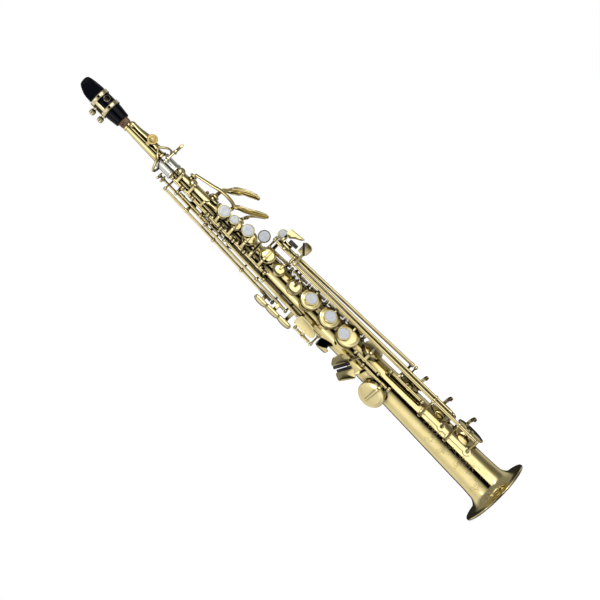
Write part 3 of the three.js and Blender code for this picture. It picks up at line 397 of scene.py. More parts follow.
def bump(tree, shader, height, strength, distance):
    node = tree.nodes.new("ShaderNodeBump")
    node.inputs["Strength"].default_value = strength
    node.inputs["Distance"].default_value = distance
    before = shader.inputs["Normal"].links
    if before:
        tree.links.new(before[0].from_socket, node.inputs["Normal"])
    tree.links.new(height, node.inputs["Height"])
    tree.links.new(node.outputs["Normal"], shader.inputs["Normal"])


# Painted shade: an occlusion mask darkens the brass colour to near black in crevices and between close parts,
# standing in for shadow
paintedCreviceShade = {"reach": 0.012, "range": (0.44, 0.86), "colour": (0.034, 0.027, 0.013)}


def lacqueredBrass(name, light, deep, rough, scratchStretch=(1, 1, 1), coat=0.35):
    finish, tree, shader, where = newFinish(name)
    cloud = grain(tree, where, 55, detail=5)
    brassTone = ramp(tree, cloud, [(0.3, deep), (0.62, light)])
    paintedShadeMask = tree.nodes.new("ShaderNodeAmbientOcclusion")   # painted shade: near-black mixed into the colour where parts crowd together
    paintedShadeMask.samples = 6
    paintedShadeMask.inputs["Distance"].default_value = paintedCreviceShade["reach"]
    share = span(tree, paintedShadeMask.outputs["AO"], 0, 1, *paintedCreviceShade["range"])
    paintedShadeMix = tree.nodes.new("ShaderNodeMix")
    paintedShadeMix.data_type = "RGBA"
    paintedShadeMix.inputs["A"].default_value = (*paintedCreviceShade["colour"], 1)
    tree.links.new(share, paintedShadeMix.inputs["Factor"])
    tree.links.new(brassTone, paintedShadeMix.inputs["B"])
    tree.links.new(paintedShadeMix.outputs["Result"], shader.inputs["Base Color"])
    tree.links.new(span(tree, grain(tree, where, 210, detail=3), rough * 0.75, rough * 1.35),
                   shader.inputs["Roughness"])
    scratches = grain(tree, where, 900, scratchStretch, detail=2)
    bump(tree, shader, scratches, 0.05, 0.0002)
    ripple = grain(tree, where, 38, detail=2)
    bump(tree, shader, ripple, 0.06, 0.0010)
    shader.inputs["Metallic"].default_value = 1
    shader.inputs["Coat Weight"].default_value = coat
    shader.inputs["Coat Roughness"].default_value = 0.06
    shader.inputs["Coat Tint"].default_value = (1, 0.95, 0.80, 1)
    return finish


def plainFinish(name, stops, rough, scale, metal=0.0, bumpScale=None, bumpStrength=0.2, bumpDepth=0.0004,
                stretch=(1, 1, 1), coat=0.0, sheen=0.0, detail=4, distortion=0.0, gloss=0.5):
    finish, tree, shader, where = newFinish(name)
    base = grain(tree, where, scale, stretch, detail, distortion)
    tree.links.new(ramp(tree, base, stops), shader.inputs["Base Color"])
    tree.links.new(span(tree, grain(tree, where, scale * 3), rough * 0.8, rough * 1.25),
                   shader.inputs["Roughness"])
    if bumpScale:
        bump(tree, shader, grain(tree, where, bumpScale, stretch, 5), bumpStrength, bumpDepth)
    shader.inputs["Metallic"].default_value = metal
    shader.inputs["Coat Weight"].default_value = coat
    shader.inputs["Coat Roughness"].default_value = 0.08
    shader.inputs["Sheen Weight"].default_value = sheen
    shader.inputs["Specular IOR Level"].default_value = gloss
    return finish


bodyBrass = lacqueredBrass("lacqueredBodyBrass", (0.92, 0.79, 0.40), (0.86, 0.71, 0.32), 0.09, (1, 1, 0.04))
keyBrass = lacqueredBrass("lacqueredKeyBrass", (0.92, 0.80, 0.43), (0.84, 0.70, 0.33), 0.09)
ligatureBrass = lacqueredBrass("ligatureBrass", (0.92, 0.83, 0.54), (0.84, 0.74, 0.44), 0.1, (1, 1, 0.05))
silverRing = plainFinish("silveredRing", [(0.3, (0.70, 0.68, 0.60)), (0.65, (0.86, 0.85, 0.78))], 0.18, 60,
                         1.0, 700, 0.05, 0.0002, (1, 1, 0.05))
steel = plainFinish("turnedSteel", [(0.3, (0.50, 0.50, 0.48)), (0.7, (0.66, 0.66, 0.63))], 0.25, 120, 1.0)
bluedSteel = plainFinish("bluedSpringSteel", [(0.3, (0.05, 0.07, 0.16)), (0.7, (0.10, 0.14, 0.26))], 0.25,
                         90, 1.0)
ebonite = plainFinish("hardRubber", [(0.3, (0.001, 0.0015, 0.005)), (0.7, (0.002, 0.003, 0.009))], 0.16, 40,
                      0.0, 260, 0.05, 0.0004, coat=0.03, gloss=0.12)
corkFinish = plainFinish("jointCork", [(0.25, (0.10, 0.055, 0.03)), (0.5, (0.27, 0.155, 0.085)),
                                       (0.75, (0.40, 0.25, 0.15))], 0.85, 420, 0.0, 600, 0.5, 0.0006,
                         (1, 1, 0.6))
cane = plainFinish("reedCane", [(0.3, (0.62, 0.47, 0.22)), (0.7, (0.80, 0.67, 0.38))], 0.55, 160, 0.0, 500,
                   0.3, 0.0002, (1, 1, 0.04))
padLeather = plainFinish("padLeather", [(0.3, (0.30, 0.17, 0.08)), (0.7, (0.48, 0.30, 0.16))], 0.6, 180,
                         0.0, 900, 0.4, 0.0003)
resonatorBrass = plainFinish("resonatorBrass", [(0.3, (0.66, 0.50, 0.26)), (0.7, (0.78, 0.62, 0.36))], 0.25,
                             90, 1.0)
blackRoller = plainFinish("blackRoller", [(0.3, (0.006, 0.006, 0.008)), (0.7, (0.016, 0.016, 0.02))], 0.18,
                          70, coat=0.5)
redFelt = plainFinish("redFelt", [(0.3, (0.16, 0.02, 0.025)), (0.7, (0.30, 0.05, 0.06))], 0.95, 700, 0.0,
                      1500, 0.6, 0.0005, sheen=0.5)
badgeBrass = plainFinish("badgeBrass", [(0.3, (0.36, 0.26, 0.08)), (0.7, (0.50, 0.38, 0.14))], 0.3, 240,
                         1.0, 900, 0.3, 0.0003)
engravedLine = plainFinish("engravedLine", [(0.3, (0.52, 0.42, 0.19)), (0.7, (0.64, 0.53, 0.27))], 0.3, 300,
                           1.0)
pearlShell, pearlTree, pearlShader, pearlWhere = newFinish("motherOfPearl")
pearlCloud = grain(pearlTree, pearlWhere, 190, detail=3, distortion=2.5)
pearlTree.links.new(ramp(pearlTree, pearlCloud, [(0.28, (0.74, 0.81, 0.93)), (0.5, (0.90, 0.94, 0.99)),
                                                 (0.72, (0.99, 0.96, 0.98))]),
                    pearlShader.inputs["Base Color"])
pearlTree.links.new(span(pearlTree, pearlCloud, 0.16, 0.3), pearlShader.inputs["Roughness"])
pearlShader.inputs["Coat Weight"].default_value = 0.6
pearlShader.inputs["Coat Roughness"].default_value = 0.05
pearlShader.inputs["Subsurface Weight"].default_value = 0.1
pearlShader.inputs["Subsurface Scale"].default_value = 0.002
print("finishes made")

# Body tube with its drawn tone holes, then the bell
bodySteps = 96
shell = bmesh.new()
tubeOutline = [(radiusAt(z), z) for z in range(51, tube["top"], 7)] + [(radiusAt(533.6), 533.6)]
turned(shell, tubeOutline + [(r - tube["wall"], z) for r, z in tubeOutline[::-1]], steps=bodySteps)
bodyShell = makePiece("bodyShell", shell, bodyBrass, "body", ["body_tube"])
cutter = bmesh.new()
for z, phi, cup in toneHoles.values():
    bore = cup - chimney["overlap"] - chimney["wall"]
    turned(cutter, [(0, 1 if bore > 3 else radiusAt(z) * 0.5), (bore, 1 if bore > 3 else radiusAt(z) * 0.5),
                    (bore, radiusAt(z) + 6), (0, radiusAt(z) + 6)], vec(0, 0, z), seatNormal(phi), 40)
cutAway(bodyShell, cutter)

seats = bmesh.new()
for z, phi, cup in toneHoles.values():
    seat = cup - chimney["overlap"]
    inner = seat - chimney["wall"]
    wall = radiusAt(z)
    steps = 48
    x, y, n = frameAlong(seatNormal(phi), up)
    top = wall + chimney["rise"]
    rings = [[] for _ in range(7)]
    for i in range(steps):
        turn = 2 * math.pi * i / steps
        side = x * math.cos(turn) + y * math.sin(turn)

        def footAt(radius, rise):
            across = radius * math.sin(turn)
            return math.sqrt(max((wall + rise) ** 2 - across ** 2, 1))

        spots = [(inner, footAt(inner, -1.1)), (inner, top - 0.3), (inner + 0.3, top), (seat - 0.25, top),
                 (seat, top - 0.3), (seat, footAt(seat, 0.7)), (seat + 1.0, footAt(seat + 1.0, -0.15))]
        for ring, (r, h) in zip(rings, spots):
            ring.append(seats.verts.new(vec(0, 0, z) + side * r + n * h))
    joinRings(seats, rings, loop=True)
makePiece("toneHoleChimneys", seats, bodyBrass, "body", sharp=50)

bell = {"steps": 128, "slope": 0.16, "lip": 0.36, "curl": 2.4}
flare = tube["rimRadius"] - 2.4 - radiusAt(tube["throat"])


def bellRadius(z):
    s = z / tube["throat"]
    lip = max(0, 1 - s / bell["lip"]) ** bell["curl"]
    return radiusAt(tube["throat"]) + flare * ((1 - s) ** 2 * bell["slope"] + lip * (1 - bell["slope"]))


horn = bmesh.new()
heights = [51, 46, 41, 36, 31, 27, 23, 20, 17, 15, 13, 11.5, 10, 8.7, 7.5, 6.4, 5.4, 4.5, 3.8, 3.2]
outside = [(bellRadius(min(z, 50)), z) for z in heights]
rolled = [(tube["rimRadius"] - 1.5 + 1.4 * math.cos(radians(a)), 1.5 + 1.45 * math.sin(radians(a)))
          for a in range(120, -151, -18)]
inside = [(bellRadius(min(z, 50)) - tube["wall"], z) for z in [2.6, 3.4] + heights[::-1]]
turned(horn, outside + rolled + inside, steps=bell["steps"])
makePiece("bellFlare", horn, bodyBrass, "body", ["bell"], sharp=60)
trim = bmesh.new()
z = 524.5
r = radiusAt(z)
turned(trim, [(r - 0.2, z - 1.4), (r + 0.35, z - 1.3), (r + 0.7, z - 0.5), (r + 0.7, z + 0.5),
              (r + 0.35, z + 1.3), (r - 0.2, z + 1.4)], steps=96)
makePiece("tubeRing", trim, bodyBrass, "body", sharp=60)

# Engraving: curling stems with small leaves round the front of the bell
engraving = {"seed": 7, "lineWidth": 0.42, "stems": 11, "low": 13, "high": 118}
rng = random.Random(engraving["seed"])
cuts = bmesh.new()


def surfacePoint(phi, z, lift=0.05):
    radius = bellRadius(z) if z < tube["throat"] else radiusAt(z)
    return outwards(phi) * (radius + lift) + vec(0, 0, z)


def engraveLine(track, width):
    path = [surfacePoint(phi, z) for phi, z in track]
    count = len(path)
    left, right = [], []
    for k, p in enumerate(path):
        tangent = (path[min(k + 1, count - 1)] - path[max(k - 1, 0)]).normalized()
        side = tangent.cross(outwards(track[k][0])).normalized()
        half = width * 0.5 * (0.25 + 0.75 * math.sin(math.pi * (k + 0.6) / (count + 0.2)))
        left.append(cuts.verts.new(p + side * half))
        right.append(cuts.verts.new(p - side * half))
    for k in range(count - 1):
        cuts.faces.new((left[k], left[k + 1], right[k + 1], right[k]))


def curl(phi, z, heading, size, hand):
    track = []
    for k in range(26):
        track.append((phi, z))
        turnNow = heading + hand * (k / 25) ** 1.6 * 7.2
        step = size * (1 - 0.72 * k / 25)
        phi += math.degrees(math.cos(turnNow) * step / max(radiusAt(z), 20))
        z += math.sin(turnNow) * step
        z = max(6, min(z, 128))
    engraveLine(track, engraving["lineWidth"])
    return track


for i in range(engraving["stems"]):
    z = engraving["low"] + (engraving["high"] - engraving["low"]) * (i + 0.5) / engraving["stems"]
    sweepSide = 1 if i % 2 else -1
    phi = -14 + sweepSide * rng.uniform(4, 15)
    stem = curl(phi, z, math.pi / 2 * sweepSide * 0.5 + rng.uniform(-0.5, 0.5), rng.uniform(1.7, 2.3),
                sweepSide)
    for k in (5, 10, 15):
        a, b = stem[k]
        curl(a, b, rng.uniform(0, 6.28), rng.uniform(0.6, 0.9), -sweepSide)
        for spread in (-0.5, 0.0, 0.5):
            angle = rng.uniform(0, 6.28) + spread
            engraveLine([(a + math.degrees(math.cos(angle) * s / 22), b + math.sin(angle) * s)
                         for s in (0.4, 1.2, 2.0, 2.8, 3.4)], engraving["lineWidth"] * 1.3)
makePiece("bellEngraving", cuts, engravedLine, "body", sharp=180)
print("body tube and bell made")

# Neck with its saddle and octave key, the clamp it stands in and the cork
neckTop = tube["top"] + neck["length"]


def neckRadiusAt(z):
    t = (z - receiver["top"]) / (neckTop - receiver["top"])
    return neck["bottomRadius"] + (neck["topRadius"] - neck["bottomRadius"]) * t


def onNeck(z, rise):
    return outwards(neck["keyPhi"]) * (neckRadiusAt(z) + rise) + vec(0, 0, z)


pipe = bmesh.new()
socket = neck["bottomRadius"]
turned(pipe, [(socket + 0.5, 534.4), (socket + 0.7, 535), (socket + 0.7, 549.5), (socket + 1.5, 549.9),
              (socket + 1.7, 550.8), (socket + 1.5, 551.6), (socket + 0.4, 552),
              (neckRadiusAt(553), 553)] + [(neckRadiusAt(z), z) for z in range(558, 632, 6)] + [(4.2, 632),
                                                                                                (3.3, 632),
                                                                                                (6.6,
                                                                                                 534.4)],
       steps=64)
turned(pipe, [(neckRadiusAt(603.5) - 0.4, 602), (neckRadiusAt(603.5) + 1.1, 602.2),
              (neckRadiusAt(603.5) + 1.4, 603.2), (neckRadiusAt(603.5) + 1.1, 604.4),
              (neckRadiusAt(603.5) - 0.4, 604.6)], steps=48)
side = outwards(neck["keyPhi"] + 90)
outward = outwards(neck["keyPhi"])
for offset in (-3.6, 3.6):
    strap(pipe, [onNeck(neck["saddle"], -1.5) + side * offset, onNeck(neck["saddle"], 3) + side * offset,
                 onNeck(neck["saddle"], 5.6) + side * offset], [5.4, 4.2, 3.4], 1.3, side, 4)
    slottedHead(pipe, onNeck(neck["saddle"], 5) + side * (offset * 1.16), side * offset, 1.4, 0.6)
turned(pipe, [(3.1, -0.6), (2.3, 0.3), (2, 0.8), (2, 1.9), (1.6, 2.1), (0.9, 2.1), (0.8, -1), (2.8, -1)],
       onNeck(neck["pip"], 0), outward, 28)
makePiece("neckPipe", pipe, bodyBrass, "body", ["neck_tube"], sharp=40)

ring = bmesh.new()
sleeve = receiver["radius"]
turned(ring, [(8.2, 526.8), (sleeve + 0.2, 526.9), (sleeve + 0.8, 527.5), (sleeve + 0.8, 529.6),
              (sleeve, 530.2), (sleeve, 544.4), (sleeve + 0.55, 545), (sleeve + 0.6, 547.8),
              (sleeve + 0.3, 548.5), (8.6, 548.5), (8.6, 533), (8.2, 532)], steps=72)
screwOut, screwSide = outwards(receiver["screwPhi"]), outwards(receiver["screwPhi"] + 90)
for offset in (-1.9, 1.9):
    strap(ring, [screwOut * (sleeve - 0.6) + screwSide * offset + vec(0, 0, receiver["screwZ"]),
                 screwOut * (sleeve + 3.9) + screwSide * offset + vec(0, 0, receiver["screwZ"])],
          [7.4, 6.2], 2, screwSide, 4)
makePiece("neckReceiver", ring, silverRing, "body", ["neck_receiver"], sharp=40)
# Painted shade: a thin black sheet set into the sleeve stands in for the shaded gap of the clamp slit
slitShadeSheet = bmesh.new()
strap(slitShadeSheet, [screwOut * (sleeve - 0.8) + vec(0, 0, 541.2), screwOut * (sleeve + 0.06) + vec(0, 0, 541.2)],
      14.4, 1.1, screwSide, 2, squareness=0.3, caps=False)
makePiece("receiverSlitShadeSheet", slitShadeSheet, blackRoller, "body")
clampCentre = screwOut * (sleeve + 2.4) + vec(0, 0, receiver["screwZ"])
clampOuter = clampCentre + screwSide * receiver["reach"]
clampInner = clampCentre - screwSide * 4.5
screw = bmesh.new()
rod(screw, clampInner, clampOuter - screwSide * 4, 1.3, 20)
turned(screw, [(0, 0), (2.6, 0), (2.9, 0.5), (2.9, 1.4), (2.2, 2), (2.2, 3.4), (0, 3.4)],
       clampOuter - screwSide * 14.6, screwSide, 24)
for k in range(3):
    turned(screw, [(0, -0.9), (1.6, -0.8), (2.0, 0), (1.6, 0.8), (0, 0.9)],
           clampOuter - screwSide * (9.6 - 1.9 * k), screwSide, 20)
strap(screw, [clampOuter - screwSide * 11.5, clampOuter - screwSide * 5.5, clampOuter - screwSide * 2.5,
              clampOuter], [2.4, 2.8, 4.2, 3.2], [2.4, 2.2, 1.6, 1.3], front, 5, squareness=0.7)
makePiece("neckClampScrew", screw, keyBrass, "neck_screw", ["neck_screw"])

corkRing = bmesh.new()
c = neck["corkRadius"]
corkBottom = neckTop - neck["corkLength"]
turned(corkRing, [(neckRadiusAt(corkBottom) + 0.1, corkBottom), (c - 0.9, corkBottom),
                  (c - 0.2, corkBottom + 1.4), (c, corkBottom + 4), (c, neckTop - 3), (c - 0.8, neckTop),
                  (neck["topRadius"] + 0.05, neckTop)], steps=56)
makePiece("neckCork", corkRing, corkFinish, "body", ["neck_cork"])

octave = {"badge": 6.4, "badgePhi": 18}
pin = onNeck(neck["saddle"], neck["saddlePin"])
lever = bmesh.new()
rod(lever, pin - side * 2.5, pin + side * 2.5, 2.1, 20)
pad = onNeck(neck["pip"], neck["pipRise"] + gap)
turned(lever, [(3.0, 0.9), (3.0, 0), (3.7, 0), (3.8, 0.4), (3.8, 1.4), (3.3, 2.2), (2.2, 2.9), (0, 3.1),
               (0, 0.9)], pad, outward, 32)
strap(lever, [pad + outward * 2.9 + up * 1, onNeck(590, 4.6), onNeck(580, 5.6), pin + outward * 0.9,
              onNeck(566, 4.9), onNeck(561, 3.9)], [4, 5.4, 6.6, 7.6, 6.6, 7],
      [1.4, 1.5, 1.6, 1.8, 1.6, 1.6], outward, 6)
disc = bmesh.new()
turned(disc, [(0, 0), (octave["badge"], 0), (octave["badge"], 0.9), (octave["badge"] - 0.4, 1.3),
              (5.5, 1.3), (5.3, 0.9), (4.6, 0.85), (3.2, 1.25), (2.2, 1.6), (0, 1.75)],
       onNeck(neck["saddle"] - 1, neck["saddlePin"] + 2.1), outwards(octave["badgePhi"]), 48)
makePiece("neckBadge", disc, badgeBrass, "neck_octave_key")
loopPath = [(neck["keyPhi"] + 4, 26, 11.2), (85, 17, 15), (130, 12.6, 16.4), (180, 11.6, 16.6),
            (230, 11.6, 16.6), (290, 12.6, 16.6), (345, 17, 14.6), (neck["keyPhi"] + 356, 26, 11.2)]
strap(lever, [outwards(phi) * r + vec(0, 0, tube["top"] + rise) for phi, rise, r in loopPath], 2.4, 3.0, up,
      8, 12, 0.95)
strap(lever, [outwards(neck["keyPhi"] - 15) * 11.2 + vec(0, 0, 561), onNeck(561, 3.8),
              outwards(neck["keyPhi"] + 15) * 11.2 + vec(0, 0, 561)], 3, 2.2, outward, 6)
makePiece("neckOctaveLever", lever, keyBrass, "neck_octave_key", ["neck_octave_key"])
badge = bmesh.new()
badgeFace = outwards(octave["badgePhi"])
badgeAt = onNeck(neck["saddle"] - 1, neck["saddlePin"] + 2.1) + badgeFace * 0.9
for k in range(6):
    turn = radians(60 * k)
    spoke = outwards(octave["badgePhi"] + 90) * math.cos(turn) + up * math.sin(turn)
    strap(badge, [badgeAt + spoke * 1.4 + badgeFace * 0.75, badgeAt + spoke * 4.6 + badgeFace * 0.35],
          [1.0, 0.5], 0.4, badgeFace, 2)
makePiece("neckBadgeRelief", badge, engravedLine, "neck_octave_key")
neckPad = bmesh.new()
turned(neckPad, [(0, 0.95), (2.95, 0.95), (3, 0.3), (2.6, -0.15), (0, -0.2)], pad, outward, 28)
makePiece("neckOctavePad", neckPad, padLeather, "neck_octave_key")
flat = bmesh.new()
strap(flat, [onNeck(563, 0.4), onNeck(568, 1.2), onNeck(574, 2.6)], 2.6, 0.3, outward, 5, squareness=0.3)
makePiece("neckFlatSpring", flat, bluedSteel, "body")
print("neck made")

# Mouthpiece, drawn facing the front and turned a little on the cork
mouth = {"low": 612.3, "high": 679.8, "turn": -15, "radius": 11.2, "table": 7.6, "reedLength": 60,
         "reedThick": 2.6, "bandLow": 632.4, "bandHigh": 649.9, "band": 5.2, "inner": 11.5}
mouthTurn = Matrix.Rotation(radians(mouth["turn"]), 4, "Z")
heel, tip = mouth["low"], mouth["high"]


def readOff(stops, z):
    if z <= stops[0][0]:
        return stops[0][1]
    for (a, p), (b, q) in zip(stops, stops[1:]):
        if z <= b:
            return p + (q - p) * (z - a) / (b - a)
    return stops[-1][1]


shankRadius = [(heel, 8.7), (heel + 0.6, 9.2), (heel + 1.6, 9.35), (heel + 5, 9.7), (heel + 12, 10.6),
               (heel + 18, mouth["radius"]), (heel + 44, mouth["radius"]), (tip, 10)]
beakDepth = [(tip - 39, -20), (tip - 38, -11.3), (tip - 24, -7.1), (tip - 13, -3.5), (tip - 6, 0.9),
             (tip, 5.3)]
halfWidths = [(tip - 30, 12), (tip - 24, 11.0), (tip - 12, 9.1), (tip - 4.6, 7.4), (tip - 2, 6.2),
              (tip - 1, 5.1), (tip - 0.4, 3.6), (tip - 0.05, 1.2)]
body = bmesh.new()
rings = []
zs = [heel, heel + 0.4, heel + 1, heel + 2] + [heel + k for k in range(4, 40, 2)]
zs += [heel + 41 + k for k in range(24)]
zs += [tip - 2.4, tip - 1.8, tip - 1.2, tip - 0.8, tip - 0.4, tip - 0.15, tip - 0.02]
for z in zs:
    r, y0, w = readOff(shankRadius, z), readOff(beakDepth, z), readOff(halfWidths, z)
    y1 = mouth["table"] if z > tip - 61.5 else 12
    loop = []
    for i in range(80):
        a = 2 * math.pi * i / 80
        x, y = r * math.sin(a), -r * math.cos(a)
        loop.append(body.verts.new((max(-w, min(w, x)), max(y0, min(y1, y)), z)))
    rings.append(loop)
joinRings(body, rings)
body.faces.new(rings[0][::-1])
body.faces.new(rings[-1])
bmesh.ops.remove_doubles(body, verts=body.verts, dist=1e-4)
mouthpiece = makePiece("mouthpieceBody", body, ebonite, "mouthpiece", ["mouthpiece"],
                       turn=mouthTurn, sharp=28)
hollow = bmesh.new()
turned(hollow, [(0, heel - 1), (7.0, heel - 1), (7.0, heel + 23), (5.4, heel + 29), (4.2, heel + 46),
                (0, heel + 46)], steps=40)
plate(hollow, [(-4.2, tip - 38), (4.2, tip - 38), (4.2, tip - 6), (-4.2, tip - 6)], vec(0, 11, 0),
      vec(1, 0, 0), up, 8.4, corner=1.2, edge=0.01)
cutAway(mouthpiece, hollow, mouthTurn)

blade = bmesh.new()
top = tip - 0.4
rings = []
for k in range(46):
    z = top - mouth["reedLength"] * k / 45
    below = top - z
    stock = mouth["reedThick"]
    thick = readOff([(0, 0.14), (4, 0.45), (20, 1.5), (30, stock - 0.1), (31, stock)], below)
    w = readOff([(0, 1.6), (0.9, 4.4), (2, 5.6), (3.6, 6.1), (6, 6.2), (60, 5.9)], below)
    crown = readOff([(0, 0.0), (20, 0.3), (31, 0.7), (60, 0.75)], below)
    base = mouth["table"] + 0.12
    loop = []
    for i in range(17):
        t = -1 + i / 8
        loop.append(blade.verts.new((w * t, base + thick - crown * t * t * 1.4 * (abs(t) ** 1.2), z)))
    for t in (0.98, 0.5, 0, -0.5, -0.98):
        loop.append(blade.verts.new((w * t, base, z)))
    rings.append(loop)
joinRings(blade, rings)
blade.faces.new(rings[0][::-1])
blade.faces.new(rings[-1])
makePiece("reedBlade", blade, cane, "mouthpiece", ["reed"], turn=mouthTurn, sharp=30)

clasp = bmesh.new()
inner = mouth["inner"]
for z in (mouth["bandLow"], mouth["bandHigh"]):
    h = mouth["band"] / 2
    turned(clasp, [(inner, z - h + 0.2), (inner + 0.35, z - h), (inner + 0.9, z - h + 0.15),
                   (inner + 1.05, z - h + 0.6), (inner + 0.75, z - h + 1.1), (inner + 0.75, z + h - 1.1),
                   (inner + 1.05, z + h - 0.6), (inner + 0.9, z + h - 0.15), (inner + 0.35, z + h),
                   (inner, z + h - 0.2)], steps=64)
for phi, width in ((-20, 4.4), (150, 5), (210, 5)):
    r = outwards(phi) * (inner + 0.5)
    strap(clasp, [r + vec(0, 0, mouth["bandLow"]), r + vec(0, 0, mouth["bandHigh"])], width, 0.9,
          outwards(phi), 3, squareness=0.4)
strap(clasp, [vec(-inner - 1.1, 0, mouth["bandLow"] - 2.6), vec(-inner - 1.1, 0, mouth["bandHigh"] + 2.6)],
      4.4, 1.5, vec(-1, 0, 0), 3, squareness=0.5)
screwHeights = (mouth["bandLow"], mouth["bandHigh"] - 4.7)
for z in screwHeights:
    turned(clasp, [(1.3, 0), (2.4, 0), (2.4, 2.4), (2.1, 2.9), (1.3, 2.9)], vec(-inner + 0.3, 0, z),
           vec(-1, 0, 0), 28)
makePiece("ligatureClasp", clasp, ligatureBrass, "mouthpiece", ["ligature"], turn=mouthTurn)
for level, z in zip(("lower", "upper"), screwHeights):
    thumb = bmesh.new()
    at = vec(-inner - 0.6, 0, z)
    rod(thumb, at, at + vec(-5, 0, 0), 1, 16, 0.2)
    turned(thumb, [(0, 2.2), (1.6, 2.2), (1.8, 2.6), (2.6, 3.1), (3.5, 3.9), (3.7, 5.2), (3.7, 7.2),
                   (3.4, 8.4), (2.6, 9.2), (1.4, 9.6), (0, 9.7)], at, vec(-1, 0, 0), 64, flutes=(12, 0.06))
    makePiece(f"{level}LigatureScrew", thumb, ligatureBrass, f"ligature_screw_{level}",
              [f"ligature_screw_{level}"], turn=mouthTurn)
markRing = {"x": 5.4, "z": 642, "radius": 3.6, "line": 0.22}
mark = bmesh.new()
markPath = []
for k in range(40):
    a = 2 * math.pi * k / 40
    x, z = markRing["x"] + markRing["radius"] * math.cos(a), markRing["z"] + markRing["radius"] * math.sin(a)
    markPath.append(vec(x, -math.sqrt(mouth["radius"] ** 2 - x * x) - 0.02, z))
loopRod(mark, markPath, markRing["line"], 6)
makePiece("mouthpieceRingMark", mark, engravedLine, "mouthpiece")
print("mouthpiece made")


# Keys: each is drawn at rest round its own hinge pin, and open ones are swung up off their seats
def cupMiddle(hole, rise=0.0):
    z, phi, _ = toneHoles[hole]
    return outwards(phi) * radiusAt(z) + vec(0, 0, z) + seatNormal(phi) * (chimney["rise"] + gap + rise)


def overCup(hole, sideways=0.0, upwards=0.0, lift=0.0):
    phi = toneHoles[hole][1]
    return cupMiddle(hole, 3.4 + lift) + outwards(phi + 90) * sideways + up * upwards


def sideOf(hole, pin):
    return math.copysign(1, (pin - overCup(hole)).dot(outwards(toneHoles[hole][1] + 90)))


def newKey(low, high, angle=0.0):
    return {"metal": bmesh.new(), "pad": bmesh.new(), "disc": bmesh.new(), "roller": bmesh.new(),
            "screw": bmesh.new(), "felt": bmesh.new(), "turn": pinTurn(low, high, angle), "low": low,
            "high": high}


def hingeTube(key, collars=(), radius=pinRadius):
    low, high = key["low"], key["high"]
    bm = key["metal"]
    rod(bm, low, high, radius, 20, 0.25)
    direction = (high - low).normalized()
    for end, way in ((low, direction), (high, -direction)):
        turned(bm, [(radius - 0.1, 0.1), (radius + 0.25, 0.3), (radius + 0.25, 1.3), (radius - 0.1, 1.6)],
               end, way, 20)
    for point, length in collars:
        turned(bm, [(radius - 0.1, -length / 2), (radius + 0.4, -length / 2 + 0.3), (radius + 0.6, 0),
                    (radius + 0.4, length / 2 - 0.3), (radius - 0.1, length / 2)], point, direction, 22)


def keyCup(key, hole):
    _, phi, cup = toneHoles[hole]
    at, normal = cupMiddle(hole), seatNormal(phi)
    big = cup > 7
    outline = [(0, 0.9), (cup - 0.65, 0.9), (cup - 0.65, 0.05), (cup - 0.2, 0), (cup, 0.25), (cup, 1.55),
               (cup - 0.3, 2.0), (cup - 0.9, 2.25), (cup * 0.80, 2.5), (cup * 0.77, 2.75),
               (cup * 0.6, 3.05), (cup * 0.35, 3.3), (cup * 0.15, 3.39), (0, 3.4)]
    turned(key["metal"], outline, at, normal, 64 if big else 36)
    turned(key["pad"], [(0, 0.95), (cup - 0.72, 0.95), (cup - 0.72, 0.05), (cup - 1.2, -0.2),
                        (cup * 0.5, -0.12), (0, -0.1)], at, normal, 48 if big else 28)
    if big:
        turned(key["disc"], [(0, -0.75), (cup * 0.16, -0.66), (cup * 0.34, -0.3), (cup * 0.42, -0.22),
                             (cup * 0.43, 0), (0, 0.1)], at, normal, 36)


def keyArm(key, hole, pin, reach=0.0, lift=0.4):
    z, phi, cup = toneHoles[hole]
    side = sideOf(hole, pin)
    edge = overCup(hole, side * (cup + 0.4), pin.z - z, lift + 0.2)
    tip = overCup(hole, -side * reach, 0, lift - 0.2)
    half = edge.lerp(tip, 0.45) + seatNormal(phi) * 0.35
    strap(key["metal"], [pin, edge, half, tip], [4.6, 3.4, 3.2, 2.2], [2.6, 2.2, 2.0, 1.3], seatNormal(phi),
          6)


def pearlSeat(key, at, normal, radius, foot=None):
    r = radius
    turned(key["metal"], [(0, -0.6), (r + 0.8, -0.6), (r + 1.1, -0.3), (r + 1.1, 1.2), (r + 0.85, 1.6),
                          (r + 0.4, 1.6), (r + 0.25, 1.3), (r + 0.25, 0.6), (0, 0.6)], at, normal, 44)
    if foot is not None:
        turned(key["metal"], [(0, 0), (3.4, 0), (2.4, 0.7), (2.1, 1.4), (2.8, (at - foot).length),
                              (0, (at - foot).length)], foot, at - foot, 24)


def pearlDisc(name, key, at, normal, radius, body):
    bm = bmesh.new()
    r = radius
    turned(bm, [(0, 0.7), (r - 0.2, 0.7), (r, 0.9), (r, 1.55), (r - 0.35, 1.95), (r * 0.82, 2.12),
                (r * 0.5, 2.05), (0, 1.95)], at, normal, 44)
    makePiece(name, bm, pearlShell, body, [f"{body.removesuffix('_key')}_pearl"], turn=key["turn"])


def finishKey(key, name, body, node, slotName="key_brass"):
    kinds = [("metal", "", keyBrass, slotName), ("pad", "Pad", padLeather, "pad_leather"),
             ("disc", "Resonator", resonatorBrass, "resonator"), ("roller", "Roller", blackRoller, "roller"),
             ("screw", "AdjustingScrew", steel, "steel"), ("felt", "Felt", redFelt, "felt")]
    for part, ending, finish, slotWord in kinds:
        if len(key[part].verts):
            makePiece(name + ending, key[part], finish, body, [node] if part == "metal" else (),
                      turn=key["turn"], sharp=35)
        else:
            key[part].free()


stackKeys = ("b_key", "bis_key", "a_key", "g_key", "f_sharp_key", "f_key", "e_key", "d_key")


